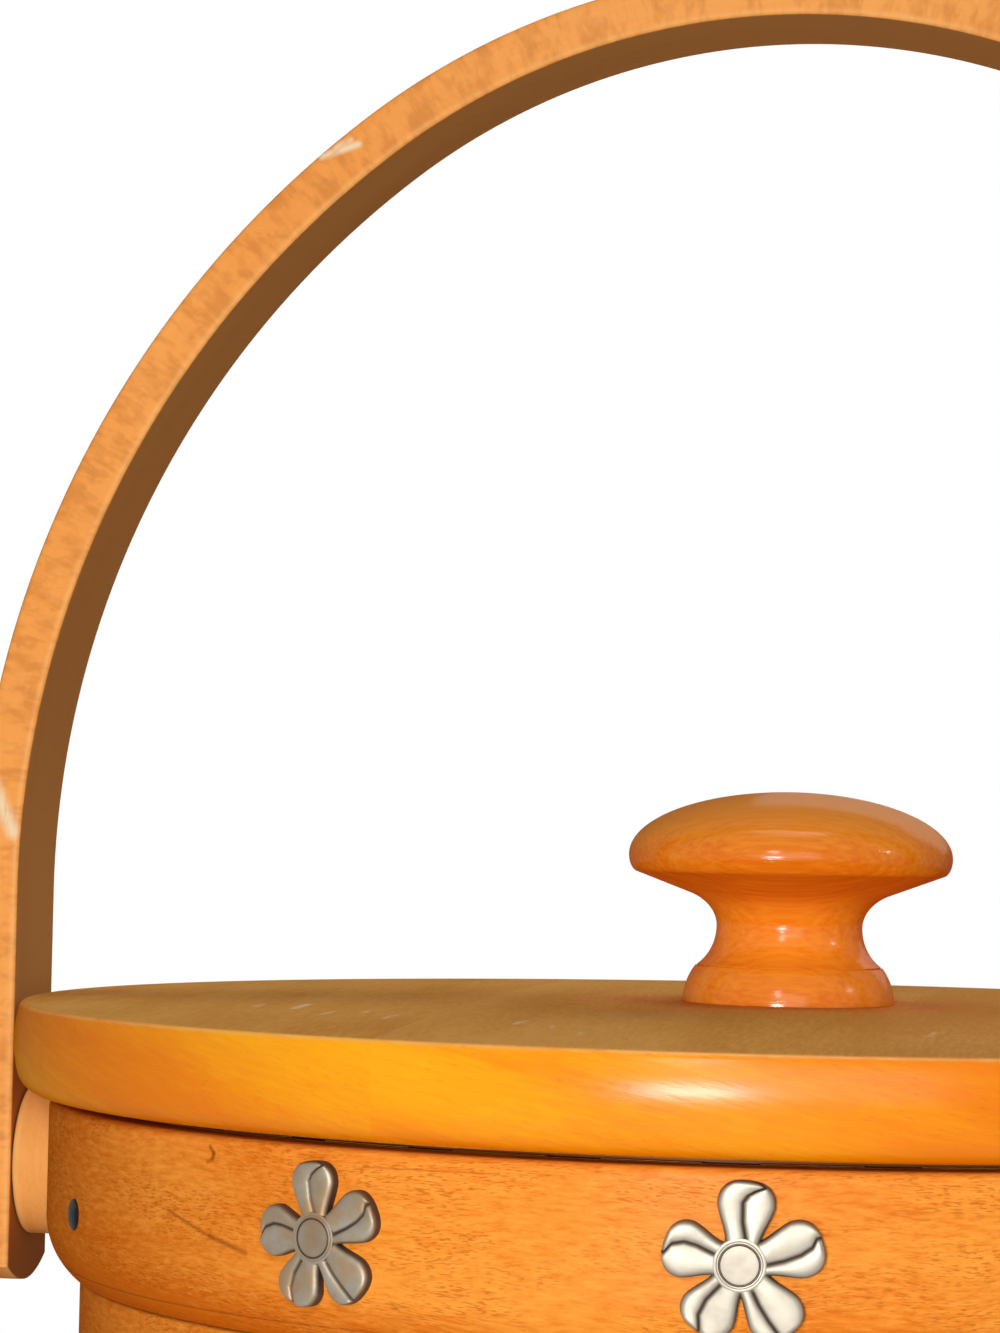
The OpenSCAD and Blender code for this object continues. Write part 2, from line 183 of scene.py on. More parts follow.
def fillet(corners, closed=True, steps=FILLET_STEPS):
    """Outline through corners (x, y, radius), as points (x, y, edge) with edge 1 on the round corners."""
    points = []
    for i, (x, y, radius) in enumerate(corners):
        here = Vector((x, y))
        if radius == 0 or (not closed and i in (0, len(corners) - 1)):
            points.append((x, y, 0.0))
            continue
        before = (Vector(corners[i - 1][:2]) - here).normalized()
        after = (Vector(corners[(i + 1) % len(corners)][:2]) - here).normalized()
        half = before.angle(after) / 2
        reach = radius / math.tan(half)
        centre = here + (before + after).normalized() * radius / math.sin(half)
        start = here + before * reach - centre
        end = here + after * reach - centre
        turn = start.angle(end)
        points.append((*(here + before * (reach + radius)), 0.0))
        for k in range(steps + 1):
            a = turn * k / steps
            p = centre + (start * math.sin(turn - a) + end * math.sin(a)) / math.sin(turn)
            points.append((*p, 1.0))
        points.append((*(here + after * (reach + radius)), 0.0))
    return points


def rounded_box(low_x, high_x, low_y, high_y, radius, steps=FILLET_STEPS):
    """Outline of a rectangle with round corners."""
    return fillet([(low_x, low_y, radius), (high_x, low_y, radius),
                   (high_x, high_y, radius), (low_x, high_y, radius)], steps=steps)


def arc(cx, cy, rx, ry, start, end, steps):
    """Points (x, y, 0) along an ellipse, with the angles in degrees."""
    angles = [math.radians(start + (end - start) * k / steps) for k in range(steps + 1)]
    return [(cx + rx * math.cos(a), cy + ry * math.sin(a), 0.0) for a in angles]


def along_hoop(angle, r, z):
    """Grain that runs round a hoop."""
    return angle * r, z, r


def along_board(angle, r, z):
    """Grain that runs from front to back through a board."""
    return r * math.sin(angle), r * math.cos(angle), z


def across_knob(angle, r, z):
    """Grain that runs from side to side."""
    return r * math.cos(angle), r * math.sin(angle), z


def lathe(profile, grain=along_hoop, closed=True, turns=TURNS, tone=0.0):
    """Turns points (r, z, edge) about the Z axis."""
    shape = Shape()
    rows = []
    for r, z, edge in profile:
        if r < TINY:
            rows.append([shape.point((0, 0, z), grain(0, 0, z), edge, tone)] * turns)
            continue
        angles = [2 * math.pi * k / turns for k in range(turns)]
        rows.append([shape.point((r * math.cos(a), r * math.sin(a), z), grain(a, r, z), edge, tone)
                     for a in angles])
    shape.skin(rows, close_rows=closed)
    return shape


def hoop_shape(r_in, r_out, low, high, radius):
    """Plain hoop with rounded edges."""
    return lathe(rounded_box(r_in, r_out, low, high, radius))


SIDE_FROM = 0.4
SIDE_FADE = 0.4


def side_shade(co):
    """How far a place on the rim lies towards the handle, from 0 to 1, for painted shade where the rim turns
    away from the front light.
    """
    sine = abs(co.x) / math.hypot(co.x, co.y, TINY)
    return min(1.0, max(0.0, (sine - SIDE_FROM) / SIDE_FADE))


def outward(angle, r, z):
    """Frame on the rim at an angle to the left of the front: X along the rim, Y up, Z outward."""
    right = Vector((math.cos(angle), -math.sin(angle), 0))
    out = Vector((-math.sin(angle), -math.cos(angle), 0))
    turn = Matrix((right, (0, 0, 1), out)).transposed().to_4x4()
    return Matrix.Translation(out * r + Vector((0, 0, z))) @ turn


def sideways(side, x):
    """Frame on a pivot, with Z outward along the X axis."""
    out = Vector((side, 0, 0))
    right = Vector((0, side, 0))
    turn = Matrix((right, (0, 0, 1), out)).transposed().to_4x4()
    return Matrix.Translation((side * x, 0, pivot_z)) @ turn


# Shader helpers
class Nodes:
    """A new material's node tree, with short ways to add and link nodes."""

    def __init__(self, name):
        self.material = bpy.data.materials.new(name)
        self.material.use_nodes = True
        self.tree = self.material.node_tree
        self.shader = self.tree.nodes["Principled BSDF"]

    def add(self, kind, *inputs, **settings):
        node = self.tree.nodes.new("ShaderNode" + kind)
        for key, value in settings.items():
            setattr(node, key, value)
        for socket, value in inputs:
            self.put(node.inputs[socket], value)
        return node

    def put(self, socket, value):
        if isinstance(value, bpy.types.NodeSocket):
            self.tree.links.new(value, socket)
        else:
            socket.default_value = value

    def feed(self, name, value):
        self.put(self.shader.inputs[name], value)

    def math(self, operation, a, b=0.0, clamp=False):
        return self.add("Math", (0, a), (1, b), operation=operation, use_clamp=clamp).outputs[0]

    def times(self, a, b, clamp=False):
        return self.math("MULTIPLY", a, b, clamp)

    def attribute(self, name, output="Fac"):
        return self.add("Attribute", attribute_name=name).outputs[output]

    def split(self, vector):
        return self.add("SeparateXYZ", (0, vector)).outputs

    def join(self, x, y, z):
        return self.add("CombineXYZ", (0, x), (1, y), (2, z)).outputs[0]

    def stretched(self, vector, scale, offset=(0, 0, 0)):
        node = self.add("VectorMath", (0, vector), (1, scale), (2, offset), operation="MULTIPLY_ADD")
        return node.outputs[0]

    def noise(self, vector, scale=1.0, detail=2.0, rough=0.5, warp=0.0):
        node = self.add("TexNoise", ("Vector", vector), ("Scale", scale), ("Detail", detail),
                        ("Roughness", rough), ("Distortion", warp))
        return node.outputs["Fac"]

    def ramp(self, value, low, high, low_to=0.0, high_to=1.0):
        node = self.add("MapRange", (0, value), (1, low), (2, high), (3, low_to), (4, high_to),
                        interpolation_type="SMOOTHSTEP")
        return node.outputs[0]

    def mix(self, factor, a, b, blend="MIX"):
        node = self.add("Mix", data_type="RGBA", blend_type=blend)
        self.put(node.inputs[0], factor)
        self.put(node.inputs[6], a)
        self.put(node.inputs[7], b)
        return node.outputs[2]

    def streak(self, vector, start, end, width):
        """1 on a thin line between two places in the vector's X and Y, fading to 0 at its width."""
        way = Vector((*end, 0)) - Vector((*start, 0))
        flat = self.stretched(vector, (1, 1, 0), (-start[0], -start[1], 0))
        share = self.add("VectorMath", (0, flat), (1, way / way.length_squared),
                         operation="DOT_PRODUCT").outputs["Value"]
        inside = self.math("ADD", share, 0.0, clamp=True)
        nearest = self.add("VectorMath", (0, way), ("Scale", inside), operation="SCALE").outputs[0]
        gap = self.add("VectorMath", (0, flat), (1, nearest), operation="DISTANCE").outputs["Value"]
        return self.ramp(gap, 0.0, width, 1.0, 0.0)

    def bump(self, height, strength, distance):
        return self.add("Bump", ("Height", height), ("Strength", strength), ("Distance", distance)).outputs[0]


def colour(red, green, blue):
    """Linear colour of an sRGB colour given from 0 to 255."""
    linear = [c / 12.92 if c <= 0.04045 else ((c + 0.055) / 1.055) ** 2.4
              for c in (red / 255, green / 255, blue / 255)]
    return (*linear, 1.0)


# Pale for worn edges and the painted highlight on the lid's edge, painted shade for seams and gaps, dark
# marks, and pale for scuffs and the painted glare on the handle
WORN_AND_HIGHLIGHT = colour(255, 206, 128)
SEAM_SHADE = colour(96, 44, 10)
STAIN = colour(150, 70, 14)
SCUFF_AND_GLARE = colour(250, 222, 180)

# Patterns of the wood: steps for each millimetre along the grain and across it
SWAY_STEPS = (0.05, 0.09, 0.09)
FIGURE_STEPS = (0.014, 0.10, 0.10)
FIBRE_ACROSS = 2.0
PATCH_STEPS = (0.06, 0.2, 0.2)
BROAD_RAY_STEPS = (0.34, 0.02, 0.24)
THIN_RAY_STEPS = (1.1, 0.02, 0.42)
RUB_STEPS = (0.25, 0.6, 0.6)
GLOSS_STEPS = (0.06, 0.12, 0.12)

# Shares and ratios in the wood, depths in millimetres over which a pattern fades, and relief in metres
DASH_SLIM = 6
DASH_FADE = 0.16
FRONT_FADE = (0.1, 0.4)
RAY_FADE = (1.2, 0.4)
RIM_ALONG = 0.98
RIM_RISE = 0.2
TONE_SHIFT = 0.2
RECESS_SHADE_SHARE = 0.85
GLOSS_FROM = 0.56
GLOSS_TO = 0.68
COAT_IOR = 4.0
BUMP_SHARE = 0.35
WOOD_RELIEF = 0.00006
COAT_RELIEF = 0.00004


def wood(name, light, dark, fleck, coat, coat_rough, fibres=0.4, fibre_step=0.22, dashes=0.5,
         dash_from=0.58, dash_step=0.75, wave=0.0, rays=0.0, rim_grain=False, wear_and_highlight=0.4, recess=SEAM_SHADE,
         marks=(), mark_tint=SCUFF_AND_GLARE, front_y=None):
    """Beech under a thin lacquer: soft figure, fibres, short dark flecks, worn edges with a painted highlight
    on the lid, painted shade where the edge weight is below zero, and single marks.

    Marks lie in the grain or, where front_y is given, on the face there, by the part's own X and Z.
    """
    n = Nodes(name)
    grain = n.attribute("grain", "Vector")
    place = grain
    shown = 1.0
    if front_y is not None:
        x, y, z = n.split(n.stretched(n.add("TexCoord").outputs["Object"], (1 / MM,) * 3))
        place = n.join(x, z, 0.0)
        shown = n.ramp(y, front_y + FRONT_FADE[0], front_y + FRONT_FADE[1], 1.0, 0.0)
    if rim_grain:
        x, y, z = n.split(grain)
        along = n.times(n.math("ARCTAN2", y, n.math("ABSOLUTE", x)), lid_r)
        ahead = n.math("SUBTRACT", n.times(along, RIM_ALONG), n.times(z, RIM_RISE))
        aside = n.math("ADD", n.times(along, RIM_RISE), n.times(z, RIM_ALONG))
        grain = n.join(ahead, aside, 0.0)
    if wave:
        sway = n.noise(n.stretched(grain, SWAY_STEPS, (4, 1, 6)), detail=1.0)
        shift = n.times(n.math("SUBTRACT", sway, 0.5), wave)
        grain = n.add("VectorMath", (0, grain), (1, n.join(0.0, shift, shift)), operation="ADD").outputs[0]
    fibre_steps = (fibre_step, FIBRE_ACROSS, FIBRE_ACROSS)
    dash_steps = (dash_step, DASH_SLIM * dash_step, DASH_SLIM * dash_step)
    figure = n.noise(n.stretched(grain, FIGURE_STEPS), detail=3.0, warp=0.4)
    fibre = n.noise(n.stretched(grain, fibre_steps), detail=3.0, rough=0.6)
    fine = n.noise(n.stretched(grain, dash_steps, (1, 5, 2)), detail=1.0)
    patches = n.noise(n.stretched(grain, PATCH_STEPS, (7, 3, 5)), detail=1.0)
    tone = n.attribute("tone")
    edge = n.attribute("edge")

    shade = n.math("ADD", n.times(figure, 1.0 - fibres), n.times(fibre, fibres))
    shade = n.math("ADD", shade, n.times(tone, TONE_SHIFT))
    base = n.mix(n.ramp(shade, 0.30, 0.70), dark, light)
    dash = n.times(n.ramp(fine, dash_from, dash_from + DASH_FADE), n.ramp(patches, 0.38, 0.62, 0.1, 1.0))
    base = n.mix(n.times(dash, dashes), base, fleck)
    if rays:
        across = n.math("ABSOLUTE", n.split(grain)[1])
        side_face = n.ramp(across, handle_high.y - RAY_FADE[0], handle_high.y - RAY_FADE[1])
        broad = n.noise(n.stretched(grain, BROAD_RAY_STEPS, (2, 9, 4)), detail=3.0, rough=0.55, warp=0.5)
        thin = n.noise(n.stretched(grain, THIN_RAY_STEPS, (6, 2, 9)), detail=2.0, warp=0.4)
        ray = n.math("ADD", n.times(broad, 0.55), n.times(thin, 0.45))
        ray = n.times(n.ramp(ray, 0.42, 0.64), side_face)
        base = n.mix(n.times(ray, rays), base, fleck)
    rub = n.noise(n.stretched(grain, RUB_STEPS, (5, 1, 8)), detail=3.0, rough=0.65)
    # Worn round edges; on the lid's upper edge this is also a painted highlight
    worn_and_highlit = n.times(n.math("MAXIMUM", edge, 0.0), n.ramp(rub, 0.30, 0.65, 0.45, 1.0))
    base = n.mix(n.times(worn_and_highlit, wear_and_highlight, clamp=True), base, WORN_AND_HIGHLIGHT)
    # Painted shade where the edge weight is below zero: seams, grooves, the gap under the lid and the
    # handle's inner face
    base = n.mix(n.math("MAXIMUM", n.times(edge, -RECESS_SHADE_SHARE), 0.0), base, recess)
    # Marks: scuffs and dark marks in the wood, and painted glare on the handle
    for start, end, width, amount in marks:
        line = n.times(n.streak(place, start, end, width), n.ramp(fibre, 0.25, 0.6, 0.4, 1.0))
        base = n.mix(n.times(n.times(line, shown), amount), base, mark_tint)

    gloss = n.noise(n.stretched(grain, GLOSS_STEPS, (3, 2, 1)), detail=4.0)
    height = n.math("SUBTRACT", fibre, n.times(dash, 0.6))
    n.feed("Base Color", base)
    n.feed("Roughness", n.ramp(gloss, 0.3, 0.7, GLOSS_FROM, GLOSS_TO))
    n.feed("Specular IOR Level", 0.0)
    n.feed("Normal", n.bump(height, BUMP_SHARE, WOOD_RELIEF))
    n.feed("Coat Weight", coat)
    n.feed("Coat Roughness", coat_rough)
    n.feed("Coat IOR", COAT_IOR)
    n.feed("Coat Normal", n.bump(height, BUMP_SHARE, COAT_RELIEF))
    return n.material


# Warm patches on dull flowers, part of the painted shade on the front-left flower
WARM_PATCH = (0.34, 0.19, 0.08, 1)

# Patterns of the metal, in steps for each metre, and its relief in metres
CLOUD_STEPS = 260.0
SPECK_STEPS = 1500.0
TARNISH_STEPS = 330.0
METAL_BUMP = 0.25
METAL_RELIEF = 0.0001


def pewter(name, bright, dull, patina, rough):
    """Cast metal, dull and warm in patches where its tone is low and bright where it is high, which on the
    front-left and front flowers is painted shade and painted highlight; dark in its recesses with patina, and
    with painted shade on the petals' edges.
    """
    n = Nodes(name)
    place = n.add("TexCoord").outputs["Object"]
    recess = n.attribute("edge")
    cloud = n.noise(place, CLOUD_STEPS, detail=4.0, rough=0.6)
    speck = n.noise(place, SPECK_STEPS, detail=2.0)
    # Low tone dulls the metal and warms it in patches: painted shade on the front-left flower, painted
    # highlight on the front one
    dull_share = n.math("ADD", n.times(n.attribute("tone"), -0.5), n.ramp(cloud, 0.3, 0.8))
    metal = n.mix(n.ramp(dull_share, 0.2, 1.2), bright, dull)
    warm_patch = n.times(n.ramp(n.noise(place, TARNISH_STEPS, detail=2.0), 0.48, 0.66),
                      n.ramp(n.attribute("tone"), -0.9, 0.3, 0.5, 0.0))
    metal = n.mix(warm_patch, metal, WARM_PATCH)
    dulled = n.math("ADD", cloud, n.times(recess, 0.3))
    height = n.math("ADD", cloud, n.times(speck, 0.3))
    n.feed("Base Color", n.mix(n.times(recess, 1.0, clamp=True), metal, patina))
    n.feed("Metallic", 1.0)
    n.feed("Roughness", n.ramp(dulled, 0.3, 0.9, rough - 0.05, rough + 0.12))
    n.feed("Normal", n.bump(height, METAL_BUMP, METAL_RELIEF))
    return n.material


def seen_ray(tree):
    """1 for the rays that show a background: the camera's, and those of shiny and clear surfaces."""
    path = tree.nodes.new("ShaderNodeLightPath")
    seen = path.outputs["Is Camera Ray"]
    for ray in ("Is Glossy Ray", "Is Transmission Ray"):
        either = tree.nodes.new("ShaderNodeMath")
        either.operation = "MAXIMUM"
        tree.links.new(seen, either.inputs[0])
        tree.links.new(path.outputs[ray], either.inputs[1])
        seen = either.outputs[0]
    return seen


# Floor, in metres
FLOOR_R = 0.6
FLOOR_DROP = 0.0005
FLOOR_CORNERS = 96
FLOOR_WHITE = 0.8


def pale_floor():
    """Pale grey with faint clouds, which glows where it is seen and so runs into the background."""
    n = Nodes("pale_floor")
    place = n.add("TexCoord").outputs["Object"]
    soft = n.noise(place, 3.0, detail=2.0)
    n.feed("Base Color", n.mix(soft, (0.50, 0.50, 0.49, 1), (0.53, 0.53, 0.52, 1)))
    n.feed("Roughness", 0.9)
    n.feed("Specular IOR Level", 0.0)
    n.feed("Emission Color", (1, 1, 1, 1))
    n.feed("Emission Strength", n.times(seen_ray(n.tree), FLOOR_WHITE))
    return n.material


FRONT_ANGLE = 1.5 * math.pi


def on_band(left, z):
    """Place in the band's grain, from the distance to the left of the front and the height."""
    return FRONT_ANGLE * band_r - left, z


# Single marks in the wood: start, end and width in millimetres, and strength
BAND_MARKS = [
    (on_band(66.0, 115.8), on_band(58.0, 113.6), 0.35, 0.7),
    (on_band(58.5, 113.8), on_band(53.0, 112.6), 0.5, 0.75),
    (on_band(58.8, 122.8), on_band(58.2, 122.2), 0.4, 0.9),
    (on_band(58.2, 122.2), on_band(58.4, 121.6), 0.45, 0.9),
    (on_band(58.4, 121.6), on_band(59.2, 121.3), 0.35, 0.8),
    (on_band(37.5, 122.3), on_band(22.4, 122.5), 0.16, 0.45)]
LID_TOP_MARKS = [
    ((-36, -52.0), (-26, -52.3), 0.8, 0.9),
    ((-33, -57.0), (-27, -57.2), 0.7, 0.5),
    ((-47, -47.0), (-40, -46.6), 0.6, 0.5),
    ((-42, -43.0), (-38, -43.2), 0.6, 0.4),
    ((-52, -39.3), (-45, -39.0), 0.6, 0.5),
    ((-57, -24.6), (-50, -24.2), 0.6, 0.5),
    ((-72, -16.0), (-67, -16.4), 0.5, 0.4),
    ((-62, -20.0), (-58, -20.3), 0.5, 0.35),
    ((-60, 18.2), (-53, 18.6), 0.6, 0.4)]
# Pale spots on the handle's edges: worn, with painted glare
HANDLE_WEAR_AND_GLARE = [
    ((-56.2, 235.0), (-51.9, 236.4), 0.75, 1.0),
    ((-54.5, 236.0), (-52.8, 237.0), 0.6, 0.9),
    ((-95.1, 161.7), (-91.8, 154.4), 1.5, 0.95)]

# Materials
splint_wood = wood(
    "splint_wood", colour(236, 164, 76), colour(206, 120, 40), colour(150, 78, 22),
    coat=0.014, coat_rough=0.35, fibres=0.6)
rim_wood = wood(
    "rim_wood", colour(250, 158, 60), colour(220, 108, 12), colour(178, 84, 12),
    coat=0.014, coat_rough=0.34, fibres=0.5, fibre_step=0.42, dashes=0.55, dash_from=0.51,
    dash_step=0.95, wave=3.0, marks=BAND_MARKS, mark_tint=STAIN)
# The handle's recess colour is painted shade on its inner face
handle_wood = wood(
    "handle_wood", colour(255, 172, 88), colour(246, 156, 72), colour(194, 110, 40),
    coat=0.014, coat_rough=0.35, fibres=0.2, dashes=0.0, rays=0.42,
    recess=colour(155, 123, 75), marks=HANDLE_WEAR_AND_GLARE, front_y=handle_low.y)
spacer_wood = wood(
    "spacer_wood", colour(255, 178, 96), colour(246, 164, 84), colour(200, 120, 50),
    coat=0.014, coat_rough=0.3, dashes=0.1)
# On the lid the worn upper edge is also a painted highlight
lid_wood = wood(
    "lid_wood", colour(252, 168, 8), colour(238, 124, 0), colour(186, 84, 0),
    coat=0.05, coat_rough=0.23, fibres=0.25, dashes=0.24, rim_grain=True, wear_and_highlight=0.45)
lid_top_wood = wood(
    "lid_top_wood", colour(236, 173, 90), colour(216, 147, 66), colour(172, 104, 40),
    coat=0.011, coat_rough=0.3, fibres=0.5, dashes=0.25, wear_and_highlight=0.45, marks=LID_TOP_MARKS)
knob_wood = wood(
    "knob_wood", colour(252, 152, 38), colour(230, 112, 8), colour(166, 82, 6),
    coat=0.05, coat_rough=0.15, fibres=0.5, fibre_step=0.05, dashes=0.0)
flower_metal = pewter(
    "flower_metal", (0.34, 0.305, 0.248, 1), (0.28, 0.22, 0.15, 1),
    (0.12, 0.088, 0.068, 1), rough=0.52)
pin_metal = pewter(
    "pin_metal", (0.40, 0.37, 0.32, 1), (0.26, 0.23, 0.19, 1),
    (0.10, 0.08, 0.06, 1), rough=0.38)
tack_metal = pewter(
    "tack_metal", (0.012, 0.013, 0.015, 1), (0.009, 0.010, 0.011, 1),
    (0.005, 0.005, 0.005, 1), rough=0.6)


# Woven wall
UPRIGHT_EDGE_R = 0.35
WEAVER_EDGE_R = 0.4
SPLINT_EDGE_STEPS = 3
GRAIN_RANGE = 900
FLAT_LESS = 0.1
FLAT_SHARES = (-1, -0.5, 0, 0.5, 1)
CROSSING_SHARES = (0.14, 0.28, 0.42, 0.58, 0.72, 0.86)
LIFT = 0.07
LIFT_WAVES = (2, 5, 11)


def wall_point(angle, along, out):
    """Place in plan, from the distances along the wall and out from the axis at an upright's angle."""
    return Vector((along * math.cos(angle) + out * math.sin(angle),
                   along * math.sin(angle) - out * math.cos(angle)))


def upright_angle(k):
    return (k + 0.5) * 2 * math.pi / UPRIGHTS


upright_out = math.sqrt((collar_high.x - COLLAR_T - FIT) ** 2 - (UPRIGHT_W / 2) ** 2)
upright_in = upright_out - UPRIGHT_T


def upright_shape(k):
    """One flat splint with eased edges, standing in the base and held by the rim."""
    half = UPRIGHT_W / 2
    section = rounded_box(-half, half, 0, UPRIGHT_T, UPRIGHT_EDGE_R, SPLINT_EDGE_STEPS)
    shape = Shape()
    tone = dice.uniform(-1, 1)
    shift = dice.uniform(0, GRAIN_RANGE)
    rows = []
    for z in (upright_low.z, (upright_low.z + upright_high.z) / 2, upright_high.z):
        row = []
        for along, out, edge in section:
            place = (*wall_point(upright_angle(k), along, upright_in + out), z)
            row.append(shape.point(place, (z + shift, along + shift, out), edge, tone))
        rows.append(row)
    shape.tube(rows)
    return shape


def weave_path(row):
    """Centre line of one weaver in plan: flat over each upright, with smooth crossings between."""
    flat = UPRIGHT_W / 2 - FLAT_LESS
    outside = upright_out + FIT + WEAVER_T / 2
    inside = upright_in - FIT - WEAVER_T / 2
    step = 2 * math.pi / UPRIGHTS
    start = row % 2 + 1
    path = []
    for k in range(start, start + UPRIGHTS):
        here, there = (outside, inside) if (k + row) % 2 == 0 else (inside, outside)
        path += [wall_point(upright_angle(k), flat * t, here) for t in FLAT_SHARES]
        leave = wall_point(upright_angle(k), flat, here)
        reach = wall_point(upright_angle(k + 1), -flat, there)
        bend = step - math.atan(flat / here) - math.atan(flat / there)
        for t in CROSSING_SHARES:
            ease = t * t * (3 - 2 * t)
            r = leave.length + (reach.length - leave.length) * ease
            a = math.atan2(leave.y, leave.x) + bend * t
            path.append(Vector((r * math.cos(a), r * math.sin(a))))
    return path


def weaver_shape(row):
    """One splint ring that passes the uprights in turn outside and inside."""
    low, high = weaver_spans[row - 1]
    half = WEAVER_T / 2
    section = rounded_box(-half, half, 0, high.z - low.z, WEAVER_EDGE_R, SPLINT_EDGE_STEPS)
    path = weave_path(row)
    tone = dice.uniform(-1, 1)
    shift = dice.uniform(0, GRAIN_RANGE)
    phases = [dice.uniform(0, 2 * math.pi) for _ in LIFT_WAVES]
    shape = Shape()
    rows = []
    length = 0.0
    for i, here in enumerate(path):
        ahead = path[(i + 1) % len(path)]
        length += (here - path[i - 1]).length if i else 0.0
        tangent = (ahead - path[i - 1]).normalized()
        normal = Vector((tangent.y, -tangent.x))
        a = math.atan2(here.y, here.x)
        lift = LIFT * sum(math.sin(a * waves + phase) for waves, phase in zip(LIFT_WAVES, phases))
        ring = []
        for out, z, edge in section:
            place = (*(here + normal * out), low.z + z + lift)
            ring.append(shape.point(place, (length + shift, z + shift, out), edge, tone))
        rows.append(ring)
    shape.skin(rows, close_rows=True)
    return shape


wall = Shape()
for k in range(UPRIGHTS):
    wall.join(upright_shape(k))
piece("upright_splints", wall, splint_wood, "basket", ["uprights"])
for row in range(1, ROW_COUNT + 1):
    piece(f"weaver_splint_{row}", weaver_shape(row), splint_wood, "basket", [f"weaver_{row}"])


# Base board
BASE_EDGE_R = 1.2
GROOVE_EDGE_R = 0.3


def base_shape():
    """Turned board with the groove that holds the uprights."""
    top = base_high.z
    groove_low = upright_low.z
    groove_in = hoop_high.x
    groove_out = collar_high.x - COLLAR_T
    corners = [(0, 0, 0), (base_high.x, 0, BASE_EDGE_R), (base_high.x, top, BASE_EDGE_R),
               (groove_out, top, GROOVE_EDGE_R), (groove_out, groove_low, 0), (groove_in, groove_low, 0),
               (groove_in, top, GROOVE_EDGE_R), (0, top, 0)]
    return lathe(fillet(corners, closed=False), along_board, closed=False)


piece("base_board_turned", base_shape(), rim_wood, "basket", ["base_board"])


# Rim hoops
HOOP_EDGE_R = 0.6
BAND_TOP_R = 0.8
BAND_INNER_R = 0.4
BAND_SWEEP_STEPS = 36
SCRIBED_STEP = 12
SCRIBED_DEPTH = 0.1
SCRIBED_DARK = -0.5
BAND_TONE = 0.2
# Painted shade towards the handle
BAND_SIDE_SHADE = -0.7
# Painted shade on the drawn-in lower round
BAND_LOW_SHADE = -0.6
COLLAR_EDGE_R = 0.4
SEAM_DROP = 0.1
SEAM_FADE = 0.5


def band_shape():
    """Square above, drawn in below by one long arc, with a faint scribed line near the lower edge; painted
    shade darkens that edge, the drawn-in round and the sides towards the handle.
    """
    sweep_r = (BAND_ROUND_IN ** 2 + BAND_ROUND_H ** 2) / (2 * BAND_ROUND_IN)
    sweep = math.degrees(math.asin(BAND_ROUND_H / sweep_r))
    low, high = band_low.z, band_high.z
    inner = band_r - BAND_T
    upper = fillet([(band_r, low + BAND_ROUND_H, 0), (band_r, high, BAND_TOP_R),
                    (inner, high, BAND_INNER_R), (inner, low, 0)], closed=False)
    lower = arc(band_r - sweep_r, low + BAND_ROUND_H, sweep_r, sweep_r, -sweep, 0, BAND_SWEEP_STEPS)
    # The lowest point gets painted shade at the seam with the collar
    marked = []
    for k, (r, z, _) in enumerate(lower):
        if k == SCRIBED_STEP:
            marked.append((r - SCRIBED_DEPTH, z, SCRIBED_DARK))
        else:
            marked.append((r, z, -1.0 if k == 0 else 0.0))
    shape = lathe(marked + [(r, z, 0.0) for r, z, _ in upper[1:]])
    # Painted shade towards the handle and on the drawn-in lower round
    for i, v in enumerate(shape.verts):
        drawn_in = max(0.0, 1 - (v.z - low) / BAND_ROUND_H)
        shape.tone[i] = BAND_TONE + BAND_SIDE_SHADE * side_shade(v) + BAND_LOW_SHADE * drawn_in
    return shape


def collar_shape():
    """Smooth hoop, with painted shade along the seam where the band ends on it."""
    low, high = collar_low.z, collar_high.z
    r_out, r_in = collar_high.x, collar_high.x - COLLAR_T
    seam = band_low.z
    corners = [(r_in, low, COLLAR_EDGE_R), (r_out, low, COLLAR_EDGE_R), (r_out, seam - SEAM_FADE, 0),
               (r_out, seam - SEAM_DROP, 0), (r_out, high, COLLAR_EDGE_R), (r_in, high, COLLAR_EDGE_R)]
    return lathe([(r, z, -1.0 if abs(z - seam) < 2 * SEAM_DROP else 0.0) for r, z, _ in fillet(corners)])


piece("rim_band_bent", band_shape(), rim_wood, "basket", ["rim_band"])
piece("rim_collar_bent", collar_shape(), rim_wood, "basket", ["rim_collar"])
inner_hoop = hoop_shape(hoop_high.x - HOOP_T, hoop_high.x, hoop_low.z, hoop_high.z, HOOP_EDGE_R)
# Painted shade on the hoop's outer half, in the gap under the lid
inner_hoop.edge = [-1.0 if v.xy.length > hoop_high.x - HOOP_T / 2 else 0.0 for v in inner_hoop.verts]
piece("rim_inner_hoop_bent", inner_hoop, splint_wood, "basket", ["rim_inner_hoop"])


# Handle
FOOT_STEPS = 12
LEG_STEPS = 20
HAUNCH_STEPS = 48
CROWN_STEPS = 36
# Painted shade on the strip's inner face
INNER_FACE_SHADE = -0.82
INNER_FACE_DEPTH = 0.05
FRONT_EDGE_WORN = 0.7
FOOT_EDGE_SHARE = 0.3


